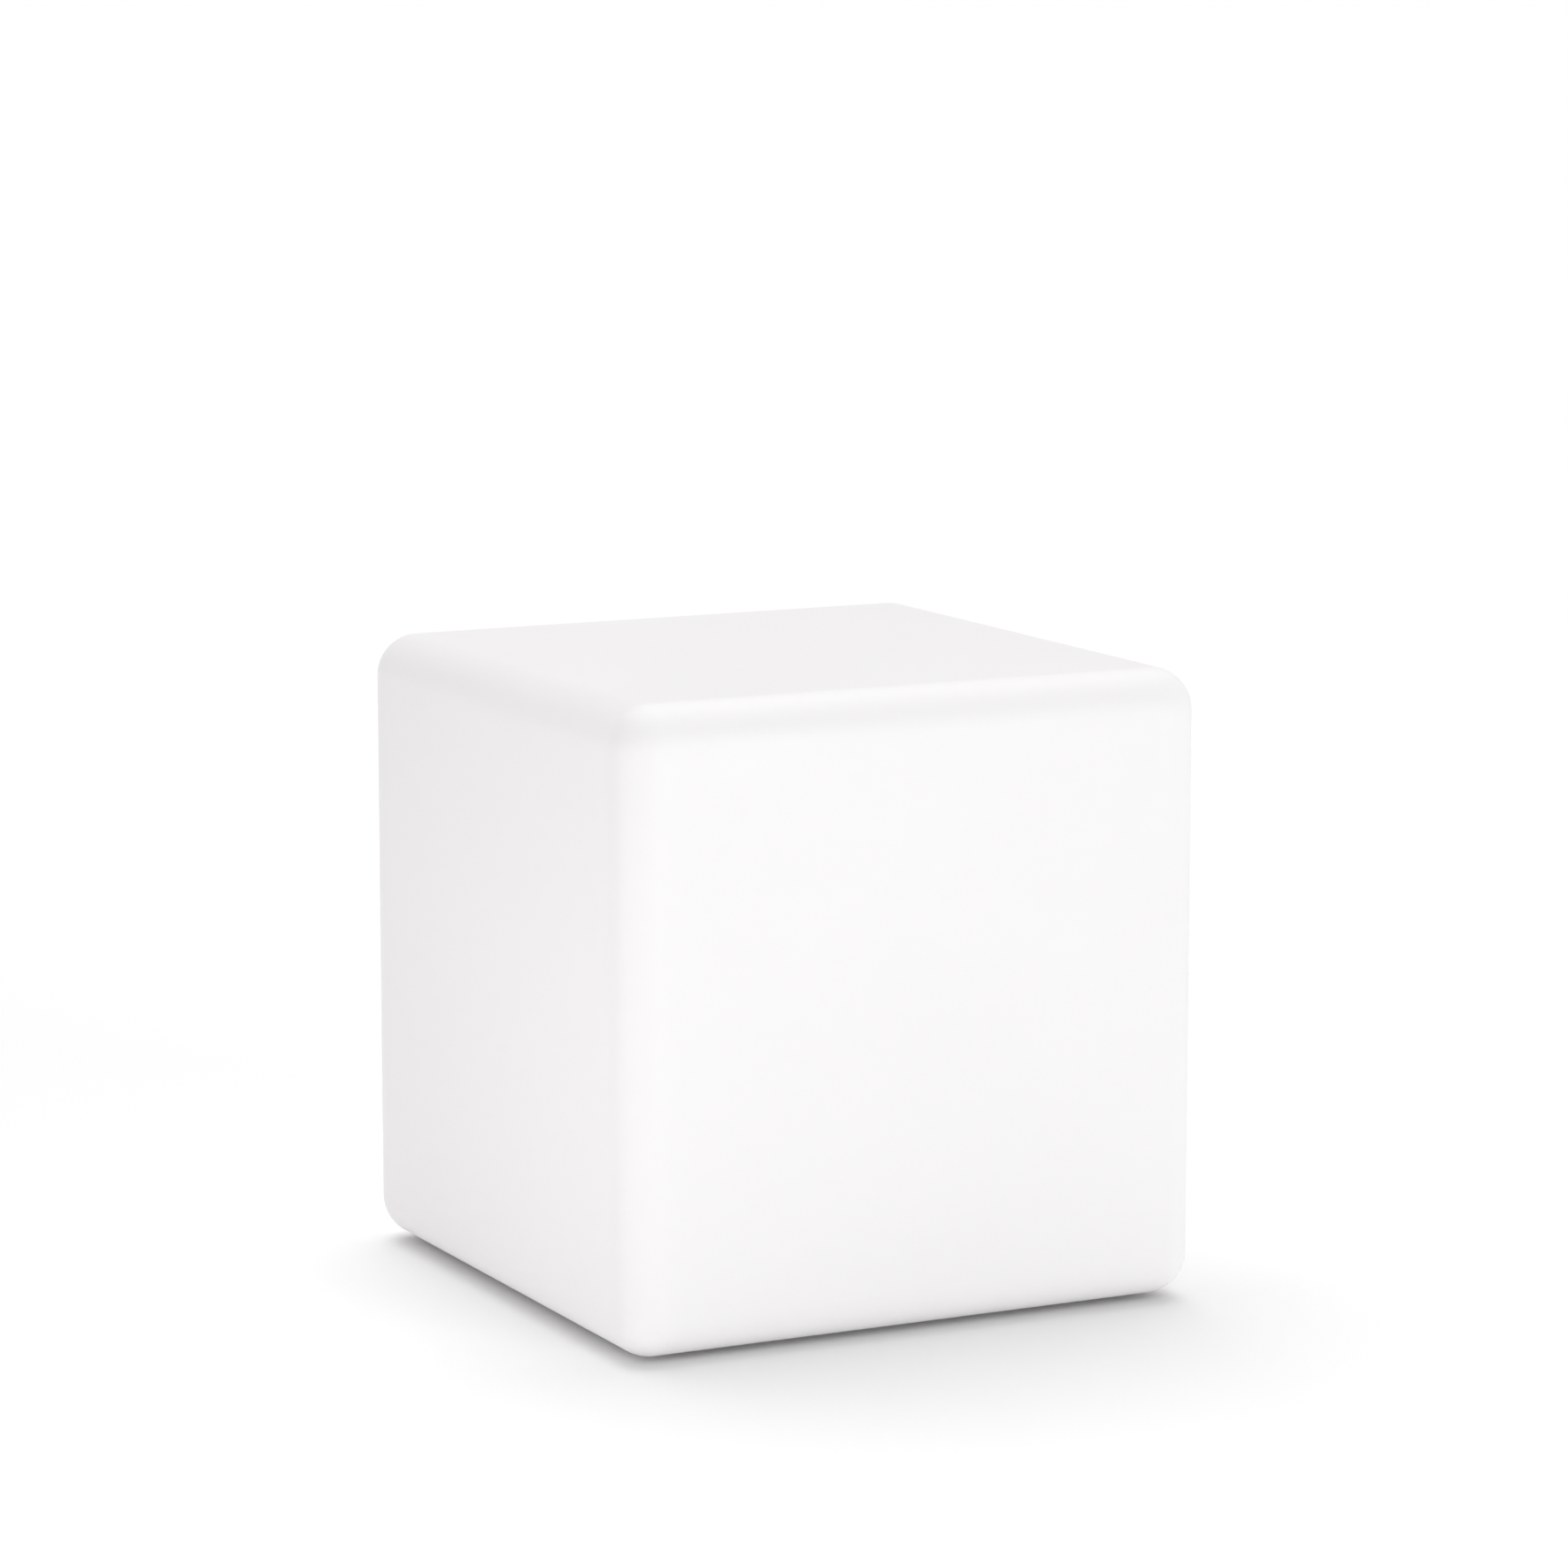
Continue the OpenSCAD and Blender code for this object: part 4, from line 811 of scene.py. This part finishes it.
shellRows = fine(threadShell["corners"], 0.3)[:-1]
make("holder_thread_shell", "holder_screw_shell", "brass", turnedBrass,
    lathe(shellRows, 144, shellThread, True), sharp=45)
dress(porcelain, "holder_core")
dress(springBronze, "holder_contact")
dress(turnedBrass, "holder_terminals", "terminal_sleeves")
dress(zincPlate, "holder_terminal_screws")
print("lamp holder made")


# Connector: the CAD node with small rounds
connector = bevel(build("connector_block", copyOf("terminal_block")), 0.35, 40)
fit(applied(connector), "base", "connector_nylon", milkyNylon, "terminal_block")

# Screws of the connector, two for each of its three poles, with slots left at odd turns (degrees)
poleScrew = {
    "radius": 1.5, "low": 25.4, "high": 30.3, "pitch": 0.5, "poleX": 10.6, "y": 5.5,
    "corners": [[0, 30, 0], [2.4, 30, 0.2], [2.4, 32, 0.35], [0, 32, 0]],
    "slot": ((-3, -0.35, 31), (3, 0.35, 33)), "turns": [20, 75, 130, 40, 160, 100]}
p = poleScrew
places = [(x * p["poleX"], stud["connectorY"] + y * p["y"], 0) for x in (-1, 0, 1) for y in (-1, 1)]
slottedHead = lathe(bent(p["corners"], 5), 48)
heads = build("slotted_screws", *(place(slottedHead, at) for at in places))
slot = block(*p["slot"])
cut(heads, *(place(slot, at, turn) for at, turn in zip(places, p["turns"])))
oneShank = shank(p["radius"], p["low"], p["high"], p["pitch"], 24, 0.2)
shanks = build("shanks", *(place(oneShank, at) for at in places))
joined = bmesh.new()
for each in (heads, shanks):
    joined.from_mesh(each.data)
joined.to_mesh(heads.data)
joined.free()
bpy.data.objects.remove(shanks)
heads.data.shade_smooth()
heads.data.set_sharp_from_angle(angle=radians(32))
fit(heads, "base", "plated_steel", zincPlate, "terminal_screws")

# Leads: silicone insulation, each on the route that its solid has
lead = {"radius": 1.1, "sides": 24, "stripe": 0.45, "wind": 0.012, "guide": (0.15, 0.1, 1)}
# x of the live and of the neutral lead, and y and z of both
routes = np.array([
    [0, 10.6, -74.5, 24], [0, 10.6, -58, 24], [0, 10.2, -56, 26], [0, 9, -54.5, 32],
    [0, 7, -52.5, 44.4], [0, 6, -51, 55.84], [0, 5, -46.5, 67], [-1, 3, -34.5, 74],
    [-1.6, 1.6, -18, 79], [-1.6, 1.6, -4, 81], [-1.6, 1.6, 0, 84], [-1.6, 1.6, 0, 92],
    [-1.6, 1.6, 0, 100.5], [-4, 4, -1, 104], [-8, 8, -2.3, 107], [-9, 9, -2.5, 109.5],
    [-9, 9, -2.5, 112]])
earthRoute = [
    [-10.6, -74.5, 24], [-10.6, -58, 24], [-14, -55.5, 23.6], [-22, -53.9, 22],
    [-30.117, -51.012, 20.3], [-35.068, -50.316, 19.9], [-41.010, -49.481, 19.9]]
for column, (name, colour) in enumerate((("live", "brown"), ("neutral", "blue"))):
    route = smoothRoute(routes[:, [column, 2, 3]])
    wire = build(name + "_wire", tube(route, lead["radius"], lead["sides"]))
    fit(wire, "base", "lead_" + colour, silicone[colour], "lead_" + name)
earthTube = tube(smoothRoute(earthRoute), lead["radius"], lead["sides"], lead["guide"])
# two opposite yellow stripes that wind slowly round the green
row, side = np.divmod(np.arange(len(earthTube[1])), lead["sides"])
stripes = ((side * 2 / lead["sides"] + row * lead["wind"]) % 1 < lead["stripe"]).astype(int)
earth = build("earth_wire", earthTube, tints=stripes)
fit(earth, "base", "lead_green", [silicone["green"], silicone["yellow"]], "earth_lead")

# Ring terminal: a flat eye, a neck (a box) and a barrel that is crimped on the lead
tag = {
    "at": (*stud["earthAt"], 18), "turn": -8, "pinch": 0.12, "pinchAt": 8, "pinchReach": 1.5,
    "eye": [[2.2, 0, 0.15], [4.2, 0, 0.2], [4.2, 0.8, 0.2], [2.2, 0.8, 0.25]],
    "neck": ((2.6, -1.7, 0.02), (6.2, 1.7, 0.78)), "barrelZ": 1.9,
    "barrel": [[1.4, 5.5, 0.2], [1.9, 4.5, 0.4], [1.9, 11.5, 0.3], [1.4, 11.5, 0.2]]}
t = tag


def crimp(radius, height, angle):
    # a pinch half way along: the radius falls by a bell curve of the height on two opposite sides
    bell = np.exp(-((height - t["pinchAt"]) / t["pinchReach"])**2)
    return radius * (1 - t["pinch"] * bell * (0.5 + 0.5 * np.cos(2 * angle)))


barrel = place(lathe(fine(bent(t["barrel"], 4), 0.5), 48, crimp, True), (0, 0, t["barrelZ"]), -90, -90)
parts = turned(t["eye"], 64, 4), barrel, block(*t["neck"])
make("crimped_tag", "earth_tag", "tinned_copper", tinnedCopper,
    *(place(part, t["at"], t["turn"]) for part in parts))
print("connector and leads made")


# Bulb: heights count from the tip; these sizes are shared by cap, cone and globe
bulb = {
    "tip": 122, "capHigh": 27, "edge": 62, "edgeRadius": 24, "globe": 30, "globeWall": 1.4,
    "globeZ": 80}
b, tip = bulb, bulb["tip"]
drop, globeInner = b["globeZ"] - b["edge"], b["globe"] - b["globeWall"]

contact = {"radius": 4.6, "rise": 1.2, "top": 2}
span = np.linspace(0, contact["radius"], 14)
contactRows = np.vstack([
    np.stack([span, contact["rise"] * (span / contact["radius"])**2], 1),
    [[contact["radius"], contact["top"] - 0.1], [contact["radius"] - 0.1, contact["top"]],
     [0, contact["top"]]]]) + [0, tip]


def blob(radius, height, angle):
    # a hand-dipped look: the radius shrinks by up to 4 percent in a slow wave round the axis
    return radius * (1 - 0.02 * (1 + np.sin(2 * angle + 0.6)) * (radius > 1))


make("solder_contact", "bulb_contact", "solder", solder, lathe(contactRows, 48, blob),
    body="bulb_tip")
glass = {"corners": [
    [0, 2, 0], [5.4, 2, 0.4], [8.6, 3.1, 2.5], [12.2, 5.4, 0.3], [12.2, 6, 0.2], [0, 6, 0]]}
make("glass_insulator", "bulb_insulator", "black_glass", blackGlass,
    lathe(bent(glass["corners"], 6) + [0, tip], 72), body="bulb_tip")

# Cap: drawn sheet; inner and outer are the radii beyond which its thread and its marks are cut
cap = {
    "radius": 13.1, "lip": 4.2, "sheet": 0.4, "low": 6, "threadLow": 7.6, "threadHigh": 20.6,
    "marks": 8, "markDepth": 0.28, "markZ": 24.4, "markSpread": 0.45, "inner": 12.3, "outer": 12.9}
middle = cap["radius"] - cap["sheet"] / 2
capRows = fine(sheet([[cap["radius"] - cap["lip"], cap["low"] + cap["sheet"] / 2, 0],
                      [middle, cap["low"] + cap["sheet"] / 2, 1], [middle, b["capHigh"], 0]],
                     cap["sheet"], 6), 0.3) + [0, tip]


def capShape(radius, height, angle):
    # the Edison wave, and punch marks that hold the cap on its cone: bell curves of the distance
    wave = edisonWave(height, angle, tip + cap["threadLow"], tip + cap["threadHigh"])
    away = ((angle * cap["marks"] / (2 * pi)) % 1 - 0.5) * 2 * pi * radius / cap["marks"]
    far = away**2 + (height - tip - cap["markZ"])**2
    mark = cap["markDepth"] * np.exp(-far / cap["markSpread"]) * (radius > cap["outer"])
    return np.where(radius > cap["inner"], radius - wave - mark, radius)


make("threaded_cap", "bulb_cap", "nickel_plate", nickelPlate, lathe(capRows, 160, capShape, True),
    body="bulb", sharp=45)

# Cone: spigot holds the corners of the part inside the cap, floor is how deep the LED board lies
cone = {
    "neck": 13.6, "wall": 1.8, "floor": 2, "floorWall": 1.5, "slope": 0.05, "flutes": 48,
    "fluteDepth": 0.35, "fluteLow": 28, "fluteMiddle": 41, "fluteReach": 7.5,
    "spigot": [[10.9, 21], [12.3, 21], [12.5, 21.2], [12.5, 27], [13.25, 27], [13.5, 27.1]]}


def coneRadius(height):
    # cubic between neck and globe: 5% outward slope at the neck, the sphere's slope at the globe
    length = b["edge"] - b["capHigh"]
    t = (height - b["capHigh"]) / length
    slope = drop / b["edgeRadius"]
    return (cone["neck"] * (2 * t**3 - 3 * t**2 + 1) + cone["slope"] * length * (t**3 - 2 * t**2 + t)
            + b["edgeRadius"] * (3 * t**2 - 2 * t**3) + slope * length * (t**3 - t**2))


climb = np.linspace(b["capHigh"] + 0.35, b["edge"] - 0.25, 40)
inside = np.linspace(b["edge"] - cone["floor"] - cone["floorWall"], b["capHigh"] + 3, 24)
boardEdge = np.sqrt(globeInner**2 - drop**2)
boardZ = b["edge"] - cone["floor"]
coneRows = np.vstack([
    cone["spigot"], np.stack([coneRadius(climb), climb], 1),
    [[b["edgeRadius"] - 0.2, b["edge"]], [boardEdge, b["edge"]], [boardEdge, boardZ],
     [0.02, boardZ], [0.02, boardZ - cone["floorWall"]]],
    np.stack([coneRadius(inside) - cone["wall"], inside], 1),
    [[cone["spigot"][0][0], b["capHigh"]]]]) + [0, tip]


def vents(radius, height, angle):
    # fine upright flutes on the cone's lower half: they fade in and out along the height
    middle = np.exp(-((height - tip - cone["fluteMiddle"]) / cone["fluteReach"])**4)
    outer = radius > coneRadius(height - tip) - 0.3
    flute = cone["fluteDepth"] * middle * (0.5 - 0.5 * np.cos(cone["flutes"] * angle))**3
    return np.where(outer & (height > tip + cone["fluteLow"]), radius - flute, radius)


make("fluted_cone", "bulb_housing", "bulb_plastic", bulbPlastic, lathe(coneRows, 480, vents, True),
    body="bulb")

# Globe: outside and inside spheres from the lower edge to the top, joined by a rim
arcs = []
for radius in (b["globe"], globeInner):
    lift = np.linspace(0.01 - np.arcsin(drop / radius), pi / 2, 64)
    arcs.append(np.stack([radius * np.cos(lift), b["globeZ"] + radius * np.sin(lift)], 1))
globeRows = np.vstack([arcs[0], arcs[1][::-1], [[22.5, b["edge"]], [23.7, b["edge"]]]]) + [0, tip]
globeRows[np.abs(globeRows[:, 0]) < 1e-9, 0] = 0
make("opal_globe", "bulb_globe", "opal_plastic", opal, lathe(globeRows, 128, ring=True), body="bulb")
dress(solderMask, "bulb_board")
dress(phosphor, "bulb_chips")
print("bulb made")


# Plain pale floor, wide enough that its far edge lies above the picture: matt studio paint, flat
# white and without gloss
stage = {"half": 90000, "tones": ("#fdfdfd", "#fcfcfc")}
floor = build("floor", grid(np.array([[[x, y, 0] for y in (-stage["half"], stage["half"])]
                                      for x in (-stage["half"], stage["half"])], float)))
floor.data.materials.append(finish("matt_floor_paint", stage["tones"], 400, (0.88, 0.92),
                                   {"IOR": 1.45}))

# An even white surround: the dim part of a white room that lights every side
surround = 0.478
world = bpy.data.worlds.new("studio")
bpy.context.scene.world = world
world.use_nodes = True
world.node_tree.nodes["Background"].inputs["Color"].default_value = (surround, surround, surround, 1)

# Lamps: kind, place (a sun's is only a direction), what it points at, side of the box in metres or
# width of the sun in degrees, power, colour. The camera doesn't see the lamps themselves
lamps = {
    "high_right": ("SUN", (0.1142, 0.2871, 0.9511), (0, 0, 0), 60, 1.431, (1, 1, 1)),
    "high_left": ("SUN", (-0.1848, 0.4645, 0.866), (0, 0, 0), 60, 0.351, (1, 1, 1)),
    "low_front": ("SUN", (0.3295, -0.9416, 0.0698), (0, 0, 0), 20, 1.347, (0.965, 0.982, 1)),
    "beside_left": ("AREA", (-0.85, -0.3, 0.1), (-0.2, -0.1, 0.15), 0.25, 0.93, (1, 0.985, 0.98)),
}
for name, (kind, at, aim, size, power, colour) in lamps.items():
    light = bpy.data.lights.new(name, kind)
    light.energy, light.color = power, colour
    if kind == "SUN":
        light.angle = radians(size)
    else:
        light.size = size
    lamp = bpy.data.objects.new(name, light)
    lamp.visible_camera = False
    lamp.location = at
    lamp.rotation_mode = "QUATERNION"
    lamp.rotation_quaternion = (Vector(at) - Vector(aim)).to_track_quat("Z", "Y")
    bpy.context.scene.collection.objects.link(lamp)
bpy.context.scene.view_settings.view_transform = "Standard"
print("floor and light set")
